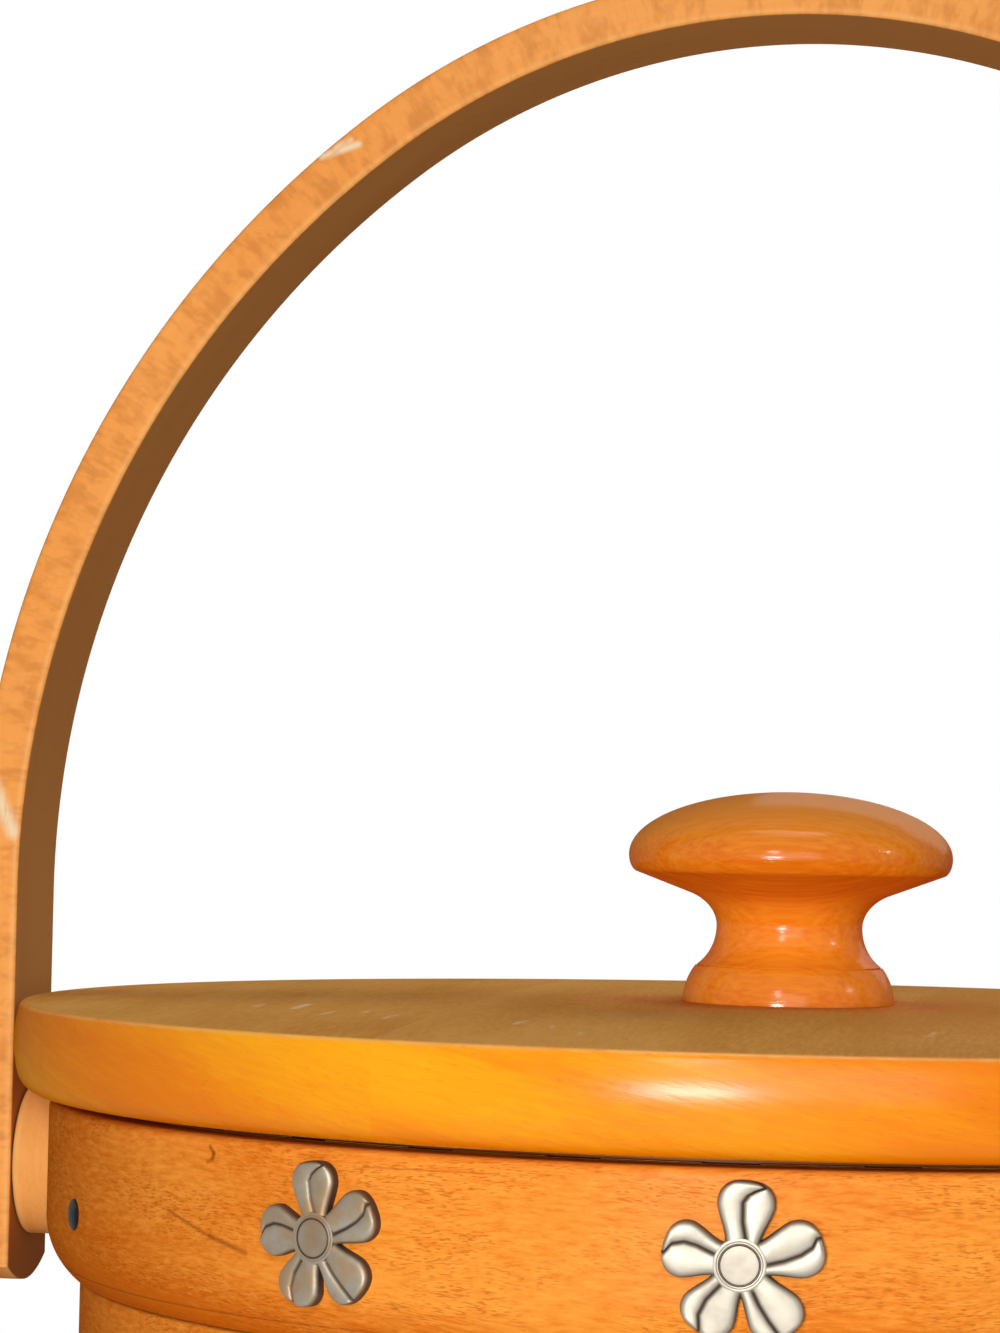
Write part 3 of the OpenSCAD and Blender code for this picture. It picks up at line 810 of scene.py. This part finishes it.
def handle_stations():
    """Points (x, z, outward x, outward z, half width) along the middle of the strip, foot to foot."""
    t = HANDLE_T
    inner = handle_high.x - t
    spring = pivot_z + LEG_UP
    rise = handle_high.z - t - spring
    haunch_r = (inner ** 2 + rise ** 2 - 2 * rise * CROWN_R) / (2 * (inner - CROWN_R))
    haunch = math.asin((rise - CROWN_R) / (haunch_r - CROWN_R))
    half = handle_high.y
    stations = []
    bulge = LEG_END_R - math.sqrt(LEG_END_R ** 2 - half ** 2)
    for k in range(1, FOOT_STEPS + 1):
        d = bulge * (1 - math.cos(math.pi / 2 * k / FOOT_STEPS))
        stations.append((inner + t / 2, handle_low.z + d, 1, 0, math.sqrt(2 * LEG_END_R * d - d * d)))
    leg = spring - handle_low.z - bulge
    for k in range(1, LEG_STEPS):
        stations.append((inner + t / 2, handle_low.z + bulge + leg * k / LEG_STEPS, 1, 0, half))
    for k in range(HAUNCH_STEPS + 1):
        a = haunch * k / HAUNCH_STEPS
        r = haunch_r + t / 2
        x = inner - haunch_r + r * math.cos(a)
        stations.append((x, spring + r * math.sin(a), math.cos(a), math.sin(a), half))
    for k in range(1, CROWN_STEPS + 1):
        a = haunch + (math.pi / 2 - haunch) * k / CROWN_STEPS
        r = CROWN_R + t / 2
        z = spring + rise - CROWN_R + r * math.sin(a)
        stations.append((r * math.cos(a), z, math.cos(a), math.sin(a), half))
    return stations + [(-x, z, -nx, nz, w) for x, z, nx, nz, w in reversed(stations[:-1])]


def handle_shape():
    """Bent strip with eased edges and rounded feet, with painted shade on its inner face and worn along the
    inner front edge.
    """
    shape = Shape()
    rows = []
    length = 0.0
    stations = handle_stations()
    for i, (x, z, nx, nz, half) in enumerate(stations):
        if i:
            length += math.hypot(x - stations[i - 1][0], z - stations[i - 1][1])
        t = HANDLE_T / 2
        r = min(HANDLE_EDGE_R, half * FOOT_EDGE_SHARE)
        row = []
        for out, y, edge in rounded_box(-t, t, -half, half, r):
            worn = edge > 0 and y < 0 and out < 0
            inside = out < INNER_FACE_DEPTH - t
            weight = INNER_FACE_SHADE if inside else FRONT_EDGE_WORN if worn else 0.0
            row.append(shape.point((x + nx * out, y, z + nz * out), (length, y, out), weight))
        rows.append(row)
    shape.tube(rows)
    return shape


piece("handle_strip", handle_shape(), handle_wood, "swing_handle", ["handle"])


# Lid
LID_EDGE_STEPS = 10
LID_SIDE_STEPS = 12
LID_CROWN_SHARES = (0.02, 0.1, 0.25, 0.4, 0.6, 0.8, 1)
LID_WEAR_AND_HIGHLIGHT_NARROW = 2.4
# Painted shade towards the handle
LID_SIDE_SHADE = -0.2
# Painted shade on the lowest part of the lid's side
LID_LOW_SHADE = -0.4
LID_LOW_H = 4
# Tone at the left of each board, its change across the board, and the shift of its grain; the centre board's
# change darkens it towards the right as painted shade
BOARD_LOOKS = {"left": (0.1, 0.0, 310.0), "centre": (0.5, -1.3, 0.0), "right": (-0.3, 0.0, 640.0)}


def lid_disc():
    """Disc with a crowned top, a swelling side and rounded edges; its weight marks the worn upper edge, which
    also carries a painted highlight.
    """
    lean = math.radians(LID_SIDE_ANGLE)
    top = lid_high.z - LID_CROWN
    side_h = top - lid_low.z - (LID_BOTTOM_R + LID_TOP_R) * (1 - math.sin(lean))
    side_r = side_h / (2 * math.sin(lean))
    side_mid = lid_low.z + LID_BOTTOM_R * (1 - math.sin(lean)) + side_h / 2
    shoulder = lid_r - side_r * (1 - math.cos(lean))
    brim = shoulder - LID_TOP_R * math.cos(lean)
    profile = [(0, lid_low.z, 0)]
    profile += arc(shoulder - LID_BOTTOM_R * math.cos(lean), lid_low.z + LID_BOTTOM_R,
                   LID_BOTTOM_R, LID_BOTTOM_R, -90, -LID_SIDE_ANGLE, LID_EDGE_STEPS)
    profile += arc(lid_r - side_r, side_mid, side_r, side_r, -LID_SIDE_ANGLE, LID_SIDE_ANGLE,
                   LID_SIDE_STEPS)[1:]
    upper = arc(brim, top - LID_TOP_R, LID_TOP_R, LID_TOP_R, LID_SIDE_ANGLE, 90, LID_EDGE_STEPS)[1:]
    middle = LID_EDGE_STEPS // 2
    for k, (r, z, _) in enumerate(upper, 1):
        profile.append((r, z, math.exp(-(LID_WEAR_AND_HIGHLIGHT_NARROW * (k - middle) / middle) ** 2)))
    for t in LID_CROWN_SHARES:
        profile.append((brim * (1 - t), top + LID_CROWN * (1 - (1 - t) ** 2), 0))
    return lathe(profile, along_board, closed=False)


def board_shape(disc, low_x, high_x, tone, shade_across, shift):
    """The part of the disc between two glue joints."""
    shell = bmesh.new()
    edge_layer = shell.verts.layers.float.new("edge")
    points = [shell.verts.new(v) for v in disc.verts]
    for v, e in zip(points, disc.edge):
        v[edge_layer] = e
    for face in disc.faces:
        shell.faces.new([points[i] for i in face])
    for x, side in ((low_x, -1), (high_x, 1)):
        if abs(x) < lid_r - TINY:
            everything = shell.verts[:] + shell.edges[:] + shell.faces[:]
            cut = bmesh.ops.bisect_plane(shell, geom=everything, plane_co=(x, 0, 0), plane_no=(side, 0, 0),
                                         clear_outer=True)["geom_cut"]
            bmesh.ops.contextual_create(shell, geom=[e for e in cut if isinstance(e, bmesh.types.BMEdge)])
    shell.verts.index_update()
    shape = Shape()
    for v in shell.verts:
        on_side = v.co.z < lid_high.z - LID_CROWN - LID_TOP_R / 2
        across = (v.co.x - low_x) / (high_x - low_x)
        # The centre board darkens towards the right as painted shade
        look = tone + shade_across * across
        # Painted shade on the side towards the handle and at its foot
        if on_side:
            low = max(0.0, 1 - (v.co.z - lid_low.z) / LID_LOW_H)
            look += LID_SIDE_SHADE * side_shade(v.co) + LID_LOW_SHADE * low
        shape.point(v.co, (v.co.y, v.co.x, v.co.z + shift), v[edge_layer], look)
    shape.faces = [[v.index for v in face.verts] for face in shell.faces]
    shell.free()
    return shape


disc = lid_disc()
for label, low_x, high_x in (("left", -lid_r, -board_split), ("centre", -board_split, board_split),
                             ("right", board_split, lid_r)):
    wooden = board_shape(disc, low_x, high_x, *BOARD_LOOKS[label])
    board = piece(f"lid_board_{label}_wood", wooden, lid_wood, "lid", [f"lid_board_{label}"])
    board.data.materials.append(lid_top_wood)
    board.data.materials.append(splint_wood)
    for face in board.data.polygons:
        face.material_index = 1 if face.normal.z > TOP_FACING else 2 if face.normal.z < -TOP_FACING else 0
piece("lid_ring_wood", hoop_shape(ring_high.x - RING_T, ring_high.x, ring_low.z, ring_high.z, HOOP_EDGE_R),
      lid_wood, "lid", ["lid_ring"])


# Knob
KNOB_NECK_R = 8.55
KNOB_FOOT_R = 12.4
KNOB_FOOT_TOP_R = 11.0
KNOB_FOOT_H = 4.2
KNOB_NECK_H = 8.9
KNOB_CAP_H = 17.15
KNOB_EDGE_H = 2.1
KNOB_EDGE_IN = 1.2
KNOB_UNDER_RISE = 0.61
KNOB_UNDER_REACH = 0.68
KNOB_COVE_END = 60
KNOB_EDGE_START = -80
KNOB_LINE_IN = 0.3
KNOB_LINE_DROP = 0.02
KNOB_LINE_DARK = -0.25
KNOB_CAP_START = 2
KNOB_FOOT_STEPS = 16
KNOB_COVE_STEPS = 18
KNOB_EDGE_STEPS = 12
KNOB_CAP_STEPS = 36
KNOB_TURNS = 160
# Painted shade on the cap's edge and underside, rising to painted light on its crown
KNOB_EDGE_SHADE = -0.3
KNOB_CROWN_LIGHT = 1.6
KNOB_NECK_TONE = 0.3


def knob_shape():
    """Tapered foot with a fine ring line, waisted neck, and mushroom cap with painted shade at its edge and
    painted light towards its crown.
    """
    z = knob_low.z
    cap_r = knob_high.x
    bend = math.radians(KNOB_COVE_END)
    taper = KNOB_FOOT_R - KNOB_FOOT_TOP_R
    foot_arc = (taper ** 2 + KNOB_FOOT_H ** 2) / (2 * taper)
    foot_end = math.degrees(math.asin(KNOB_FOOT_H / foot_arc))
    low_r = (KNOB_FOOT_TOP_R - KNOB_NECK_R) / (1 - math.cos(bend))
    low_z = (KNOB_NECK_H - KNOB_FOOT_H) / math.sin(bend)
    edge_r = cap_r - KNOB_EDGE_IN
    high_r = (edge_r - KNOB_NECK_R) * (1 - KNOB_UNDER_REACH) / (1 - math.cos(bend))
    high_z = (KNOB_CAP_H - KNOB_EDGE_H - KNOB_NECK_H) * KNOB_UNDER_RISE / math.sin(bend)
    neck = z + KNOB_NECK_H
    cap = z + KNOB_CAP_H
    profile = [(0, z, 0)]
    profile += arc(KNOB_FOOT_R - foot_arc, z, foot_arc, foot_arc, 0, foot_end, KNOB_FOOT_STEPS)
    profile.append((KNOB_FOOT_TOP_R - KNOB_LINE_IN, z + KNOB_FOOT_H - KNOB_LINE_DROP, KNOB_LINE_DARK))
    profile += arc(KNOB_NECK_R + low_r, neck, low_r, low_z, 180 + KNOB_COVE_END, 180, KNOB_COVE_STEPS)[1:]
    profile += arc(KNOB_NECK_R + high_r, neck, high_r, high_z, 180, 180 - KNOB_COVE_END,
                   KNOB_COVE_STEPS)[1:]
    profile += arc(edge_r, cap, KNOB_EDGE_IN, KNOB_EDGE_H, KNOB_EDGE_START, 0, KNOB_EDGE_STEPS)
    profile += arc(0, cap, cap_r, knob_high.z - cap, KNOB_CAP_START, 90, KNOB_CAP_STEPS)
    shape = lathe(profile, across_knob, closed=False, turns=KNOB_TURNS)
    # Painted shade at the cap's edge, painted light towards its crown
    for i, v in enumerate(shape.verts):
        up_cap = max(0.0, (v.z - cap) / (knob_high.z - cap))
        on_cap = KNOB_EDGE_SHADE + (KNOB_CROWN_LIGHT - KNOB_EDGE_SHADE) * up_cap
        shape.tone[i] = on_cap if v.z > (neck + cap) / 2 else KNOB_NECK_TONE
    return shape


piece("lid_knob_turned", knob_shape(), knob_wood, "lid", ["lid_knob"])


# Pivots
SPACER_SEAT_R = 0.3
SPACER_EDGE_R = 0.6
SPACER_TURNS = 96
WASHER_BORE_R = 2.1
WASHER_EDGE_R = 0.15
WASHER_TOP_R = 0.25
WASHER_TURNS = 72
PIN_R = 2.0
PIN_TURNS = 32
SHANK_OVERLAP = 0.2
DOME_STEPS = 12
DOME_TURNS = 48
RIM_DIRT = 0.6
SHANK_DIRT = 0.5


def spacer_shape(side):
    """Turned disc with a saddle that sits on the band."""
    r = (spacer_high.z - spacer_low.z) / 2
    depth = spacer_high.x - spacer_low.x
    corners = [(0, 0, 0), (r, 0, SPACER_SEAT_R), (r, depth, SPACER_EDGE_R), (0, depth, 0)]
    shape = lathe(fillet(corners, closed=False), along_board, closed=False, turns=SPACER_TURNS)
    seat_r = band_r + FIT
    for i, v in enumerate(shape.verts):
        seat = math.sqrt(seat_r ** 2 - v.x ** 2)
        x = seat + (spacer_high.x - seat) * v.z / depth
        shape.verts[i] = Vector((side * x, v.x, pivot_z + v.y))
    return shape


def dome(r, height):
    """Domed head on a flat underside, with a straight rim of a quarter of its height."""
    rim = height / 4
    profile = [(0, 0, RIM_DIRT), (r, 0, RIM_DIRT)] + arc(0, rim, r, height - rim, 0, 90, DOME_STEPS)
    return lathe(profile, along_board, closed=False, turns=DOME_TURNS)


def washer_shape():
    """Flat ring round the pin, with its outer edge rounded."""
    r = (washer_high.z - washer_low.z) / 2
    thick = washer_high.x - washer_low.x
    corners = [(WASHER_BORE_R, 0, WASHER_EDGE_R), (r, 0, WASHER_EDGE_R), (r, thick, WASHER_TOP_R),
               (WASHER_BORE_R, thick, WASHER_EDGE_R)]
    return lathe(fillet(corners), turns=WASHER_TURNS)


def pin_shape():
    """Domed head on the washer, and the shank that runs through the handle and the rim."""
    head_r = (pin_high.z - pin_low.z) / 2
    head = dome(head_r, pin_high.x - washer_high.x).moved(Matrix.Translation((0, 0, washer_high.x)))
    end = washer_high.x + SHANK_OVERLAP
    shank = [(0, pin_low.x, 0), (PIN_R, pin_low.x, SHANK_DIRT), (PIN_R, end, SHANK_DIRT), (0, end, 0)]
    return head.join(lathe(shank, closed=False, turns=PIN_TURNS))


for side, label in ((-1, "left"), (1, "right")):
    piece(f"spacer_{label}_turned", spacer_shape(side), spacer_wood, "basket",
          [f"spacer_{label}"])
    washer = washer_shape().moved(sideways(side, washer_low.x))
    piece(f"pivot_washer_{label}_cast", washer, pin_metal, "basket", [f"pivot_washer_{label}"])
    pin = pin_shape().moved(sideways(side, 0))
    piece(f"pivot_pin_{label}_cast", pin, pin_metal, "basket", [f"pivot_pin_{label}"])


# Flowers
# Each petal: direction in degrees, length, and places along and across it that its crease runs through
PETALS = ((3, 8.0, ((2.4, 0.3), (4.1, -0.15), (5.9, -0.3), (6.6, 0.1), (7.1, 0.8), (7.6, 1.9))),
          (72, 8.1, ((2.5, 0.6), (4.2, 0.65), (5.8, 0.5), (7.0, 0.1), (7.6, -0.6))),
          (142, 8.0, ((2.7, 0.45), (4.1, 0.7), (5.9, 0.8), (7.6, 0.75))),
          (211, 7.5, ((2.5, 0.45), (4.5, 0.8), (6.1, 0.6), (7.2, -0.2))),
          (282, 7.5, ((2.5, 0.35), (4.4, 0.7), (5.6, 0.7), (6.7, 0.2), (7.2, -0.8))))
PETAL_START = 1.2
PETAL_NECK = 1.65
PETAL_NECK_END = 2.3
PETAL_HALF = 2.75
PETAL_WIDEST = 0.70
PETAL_BLUNT = 2.5
PETAL_THICK = 1.3
PETAL_ROUND = 0.5
CREASE_HALF = 0.15
CREASE_DEEP = 0.2
PIN_SEAT_R = 2.1
PETAL_ROWS = 48
PETAL_END = 0.9998
PETAL_ROW_CROWDING = 1.8
PETAL_UNDERSIDE = -0.1
CREASE_LIMIT = 0.85
CREASE_LEAD = 0.3
CREASE_FADE = 0.5
EASED_SHARE = 0.45
# Shares of a petal's thickness: its flat edge, its rounding and the swelling beside its crease
EDGE_SHARE = 0.5
ROUND_SHARE = 0.36
LOBE_SHARE = 0.14
# How the painted shade on a petal's rounded edge fades inward
EDGE_SHADE_FALL = 1.2
ACROSS = (0.0, 0.03, 0.06, 0.10, 0.16, 0.3, 0.5, 0.68, 0.80, 0.88, 0.94, 0.98, 1.0)

# Each flower: turn to its half of the rim, steps from the middle there, tilt in degrees, tone and size. The
# front flower's high tone is a painted highlight, and the front-left flower's low tone is painted shade.
FLOWERS = {"front_left": (0.0, 1, -8, -0.9, 0.95), "front": (0.0, 0, 2, 1.0, 1.0),
           "front_right": (0.0, -1, 5, 0.2, 0.98), "back_left": (math.pi, -1, -4, -0.2, 0.97),
           "back": (math.pi, 0, 3, 0.4, 1.0), "back_right": (math.pi, 1, -6, 0.0, 0.98)}

# Flower pin from its middle outward and down: radius, height and dirt
FLOWER_PIN = ((0, 1.30, 0.3), (0.8, 1.32, 0.25), (1.5, 1.33, 0.2), (1.82, 1.31, 0.3), (1.9, 1.18, 1.0),
              (2.0, 1.18, 1.0), (2.05, 1.33, 0.2), (2.12, 1.35, 0.0), (2.18, 1.34, 0.2), (2.23, 1.31, 0.6),
              (2.28, 1.33, 0.1), (2.45, 1.32, 0.0), (2.55, 1.28, 0.0), (2.6, 1.1, 0.3), (2.6, -0.2, 1.0),
              (0, -0.2, 1.0))
FLOWER_PIN_TURNS = 72


def petal_half_width(along, length):
    """Half the width of a petal: a neck that widens, then a blunt round tip."""
    widest = PETAL_WIDEST * length
    if along > widest:
        tip = (along - widest) / (length - widest)
        return PETAL_HALF * max(0.0, 1 - tip ** PETAL_BLUNT) ** (1 / PETAL_BLUNT)
    t = min(1.0, max(0.0, (along - PETAL_NECK_END) / (widest - PETAL_NECK_END)))
    eased = t * t * (3 - 2 * t)
    return PETAL_NECK + (PETAL_HALF - PETAL_NECK) * ((1 - EASED_SHARE) * t + EASED_SHARE * eased)


def crease_place(along, path):
    """Sideways place of a petal's crease, from the places that it runs through."""
    for (a, x), (b, y) in zip(path, path[1:]):
        if along <= b:
            t = max(0.0, (along - a) / (b - a))
            return x + (y - x) * t
    return path[-1][1]


def petal_top(side, share, half, crease, along, length, path):
    """Sideways place, height and darkening on a petal, at a share of the way from the crease to one side:
    patina in the crease and painted shade on the rounded edge.
    """
    across = crease + (side * half - crease) * share
    edge_gap = min((1 - share) * abs(side * half - crease), length - along)
    inside = min(1.0, max(0.0, edge_gap) / PETAL_ROUND)
    round_off = math.sqrt(1 - (1 - inside) ** 2)
    fade = min(1.0, max(0.0, (along - path[0][0] + CREASE_LEAD) / CREASE_FADE))
    groove = fade * math.exp(-((across - crease) / CREASE_HALF) ** 2)
    lobe = 1 - (2 * share - 1) ** 2
    height = PETAL_THICK * (EDGE_SHARE + ROUND_SHARE * round_off + LOBE_SHARE * lobe) - CREASE_DEEP * groove
    if math.hypot(along, across) < PIN_SEAT_R:
        height = min(height, PETAL_THICK / 2)
    return across, height, max(groove, (1 - round_off) ** EDGE_SHADE_FALL)


def flower_shape(angle, tilt, tone, size):
    """Five creased petals laid on the band at an angle to the left of the front."""
    shape = Shape()
    for direction, length, path in PETALS:
        turn = math.radians(direction + tilt)
        rows = []
        for i in range(PETAL_ROWS + 1):
            share = (1 - (1 - i / PETAL_ROWS) ** PETAL_ROW_CROWDING) * PETAL_END
            along = PETAL_START + (length - PETAL_START) * share
            half = petal_half_width(along, length)
            limit = CREASE_LIMIT * half
            crease = max(-limit, min(limit, crease_place(along, path)))
            # The petal's side walls are fully dark: painted shade
            strip = [(-half, PETAL_UNDERSIDE, 1.0)]
            strip += [petal_top(-1, part, half, crease, along, length, path) for part in reversed(ACROSS)]
            strip += [petal_top(1, part, half, crease, along, length, path) for part in ACROSS[1:]]
            strip.append((half, PETAL_UNDERSIDE, 1.0))
            row = []
            for across, height, patina_and_shade in strip:
                u = size * (along * math.sin(turn) + across * math.cos(turn))
                v = size * (along * math.cos(turn) - across * math.sin(turn))
                a = angle - u / band_r
                r = band_r + height
                place = (-math.sin(a) * r, -math.cos(a) * r, flower_z + v)
                row.append(shape.point(place, (u, v, height), patina_and_shade, tone))
            rows.append(row)
        shape.tube(rows)
    return shape


def flower_pin_shape(tone):
    """Flat pin head inside a fine ring, level with the petals."""
    return lathe(FLOWER_PIN, along_board, closed=False, turns=FLOWER_PIN_TURNS, tone=tone)


pins = Shape()
for label, (half, place, tilt, tone, size) in FLOWERS.items():
    angle = half + FLOWER_TURN + place * FLOWER_STEP
    petals = flower_shape(angle, tilt, tone, size)
    piece(f"flower_{label}_cast", petals, flower_metal, "basket", [f"flower_{label}"])
    pins.join(flower_pin_shape(tone).moved(outward(angle, band_r, flower_z)))
piece("flower_pin_heads", pins, flower_metal, "basket", ["flower_pins"])

# Nails
NAIL_HEAD_R = 1.7
NAIL_HEAD_H = 0.5
nails = Shape()
for angle in (NAIL_ANGLE, -NAIL_ANGLE, math.pi - NAIL_ANGLE, math.pi + NAIL_ANGLE):
    nails.join(dome(NAIL_HEAD_R, NAIL_HEAD_H).moved(outward(angle, band_r, nail_z)))
piece("rim_nail_heads", nails, tack_metal, "basket", ["rim_nails"])

# Small metal pieces that keep the shapes in the frame
for node, metal in (("pivot_burr_left", pin_metal), ("pivot_burr_right", pin_metal),
                    ("knob_screw", tack_metal), ("knob_washer", tack_metal)):
    frame["nodes"][node].data.materials.clear()
    frame["nodes"][node].data.materials.append(metal)


# Floor, light and camera
def stage_floor():
    """Round floor just under the base."""
    mesh = bpy.data.meshes.new("floor")
    angles = [2 * math.pi * k / FLOOR_CORNERS for k in range(FLOOR_CORNERS)]
    ring = [(FLOOR_R * math.cos(a), FLOOR_R * math.sin(a), -FLOOR_DROP) for a in angles]
    mesh.from_pydata(ring, [], [list(range(FLOOR_CORNERS))])
    mesh.materials.append(pale_floor())
    floor = bpy.data.objects.new("floor", mesh)
    bpy.context.scene.collection.objects.link(floor)


def lamp(name, watts, size, place, target):
    """Area lamp of a width and height that faces a target."""
    light = bpy.data.lights.new(name, "AREA")
    light.shape = "RECTANGLE"
    light.size, light.size_y = size
    light.energy = watts
    holder = bpy.data.objects.new(name, light)
    holder.location = place
    holder.rotation_euler = (Vector(target) - Vector(place)).to_track_quat("-Z", "Y").to_euler()
    bpy.context.scene.collection.objects.link(holder)


def white_world(ambient):
    """White where the camera and shiny surfaces look, and a dim even light on the rest."""
    world = bpy.data.worlds.new("studio")
    bpy.context.scene.world = world
    world.use_nodes = True
    tree = world.node_tree
    level = tree.nodes.new("ShaderNodeMapRange")
    level.inputs["To Min"].default_value = ambient
    tree.links.new(seen_ray(tree), level.inputs["Value"])
    shade = tree.nodes["Background"]
    shade.inputs["Color"].default_value = (1, 1, 1, 1)
    tree.links.new(level.outputs[0], shade.inputs["Strength"])


# Camera of the photograph: place in millimetres, angles in radians, focal length in pixels of its frame
CAMERA_AZIMUTH = 0.0653
CAMERA_REACH = 450.0
CAMERA_HEIGHT = 155.46
CAMERA_YAW = 0.0770
CAMERA_PITCH = 0.0435
CAMERA_ROLL = 0.0198
FOCAL_PX = 3809.2
FRAME_H_PX = 1333
SENSOR_MM = 36.0
CLIP_START_M = 0.01


def photo_camera():
    """Camera at the photograph's place, turned by its yaw and pitch and then rolled."""
    data = bpy.data.cameras.new("camera")
    data.sensor_width = SENSOR_MM
    data.lens = FOCAL_PX / FRAME_H_PX * SENSOR_MM
    data.clip_start = CLIP_START_M
    turn = CAMERA_AZIMUTH + CAMERA_YAW
    flat = math.cos(CAMERA_PITCH)
    ahead = Vector((-math.sin(turn) * flat, math.cos(turn) * flat, math.sin(CAMERA_PITCH)))
    right = Vector((math.cos(turn), math.sin(turn), 0))
    up = right.cross(ahead)
    cam_x = right * math.cos(CAMERA_ROLL) + up * math.sin(CAMERA_ROLL)
    cam_y = up * math.cos(CAMERA_ROLL) - right * math.sin(CAMERA_ROLL)
    camera = bpy.data.objects.new("camera", data)
    place = Vector((CAMERA_REACH * math.sin(CAMERA_AZIMUTH), -CAMERA_REACH * math.cos(CAMERA_AZIMUTH),
                    CAMERA_HEIGHT))
    facing = Matrix((cam_x, cam_y, -ahead)).transposed().to_4x4()
    camera.matrix_world = Matrix.Translation(place * MM) @ facing
    bpy.context.scene.collection.objects.link(camera)
    bpy.context.scene.camera = camera


# Lamps: watts, width and height, and place, in metres; all face the lid's centre
AMBIENT = 0.05
LID_CENTRE = (0, 0, 0.13)
LAMPS = {"front_softbox": (3.3, (0.7, 0.5), (0.14, -1.13, 0.3)),
         "front_lamp": (1.08, (0.1, 0.03), (-0.07, -0.503, 0.138)),
         "raised_lamp": (0.3, (0.05, 0.07), (-0.07, -0.5, 0.34)),
         "right_lamp": (0.3, (0.04, 0.04), (0.62, -0.12, 0.42)),
         "top_softbox": (2.1, (0.5, 0.35), (0.02, 0.05, 1.15)),
         "back_softbox": (6.0, (0.9, 0.6), (0.3, 1.0, 0.6))}
stage_floor()
white_world(AMBIENT)
for name, (watts, size, place) in LAMPS.items():
    lamp(name, watts, size, place, LID_CENTRE)
photo_camera()

bpy.context.scene.view_settings.view_transform = "Standard"
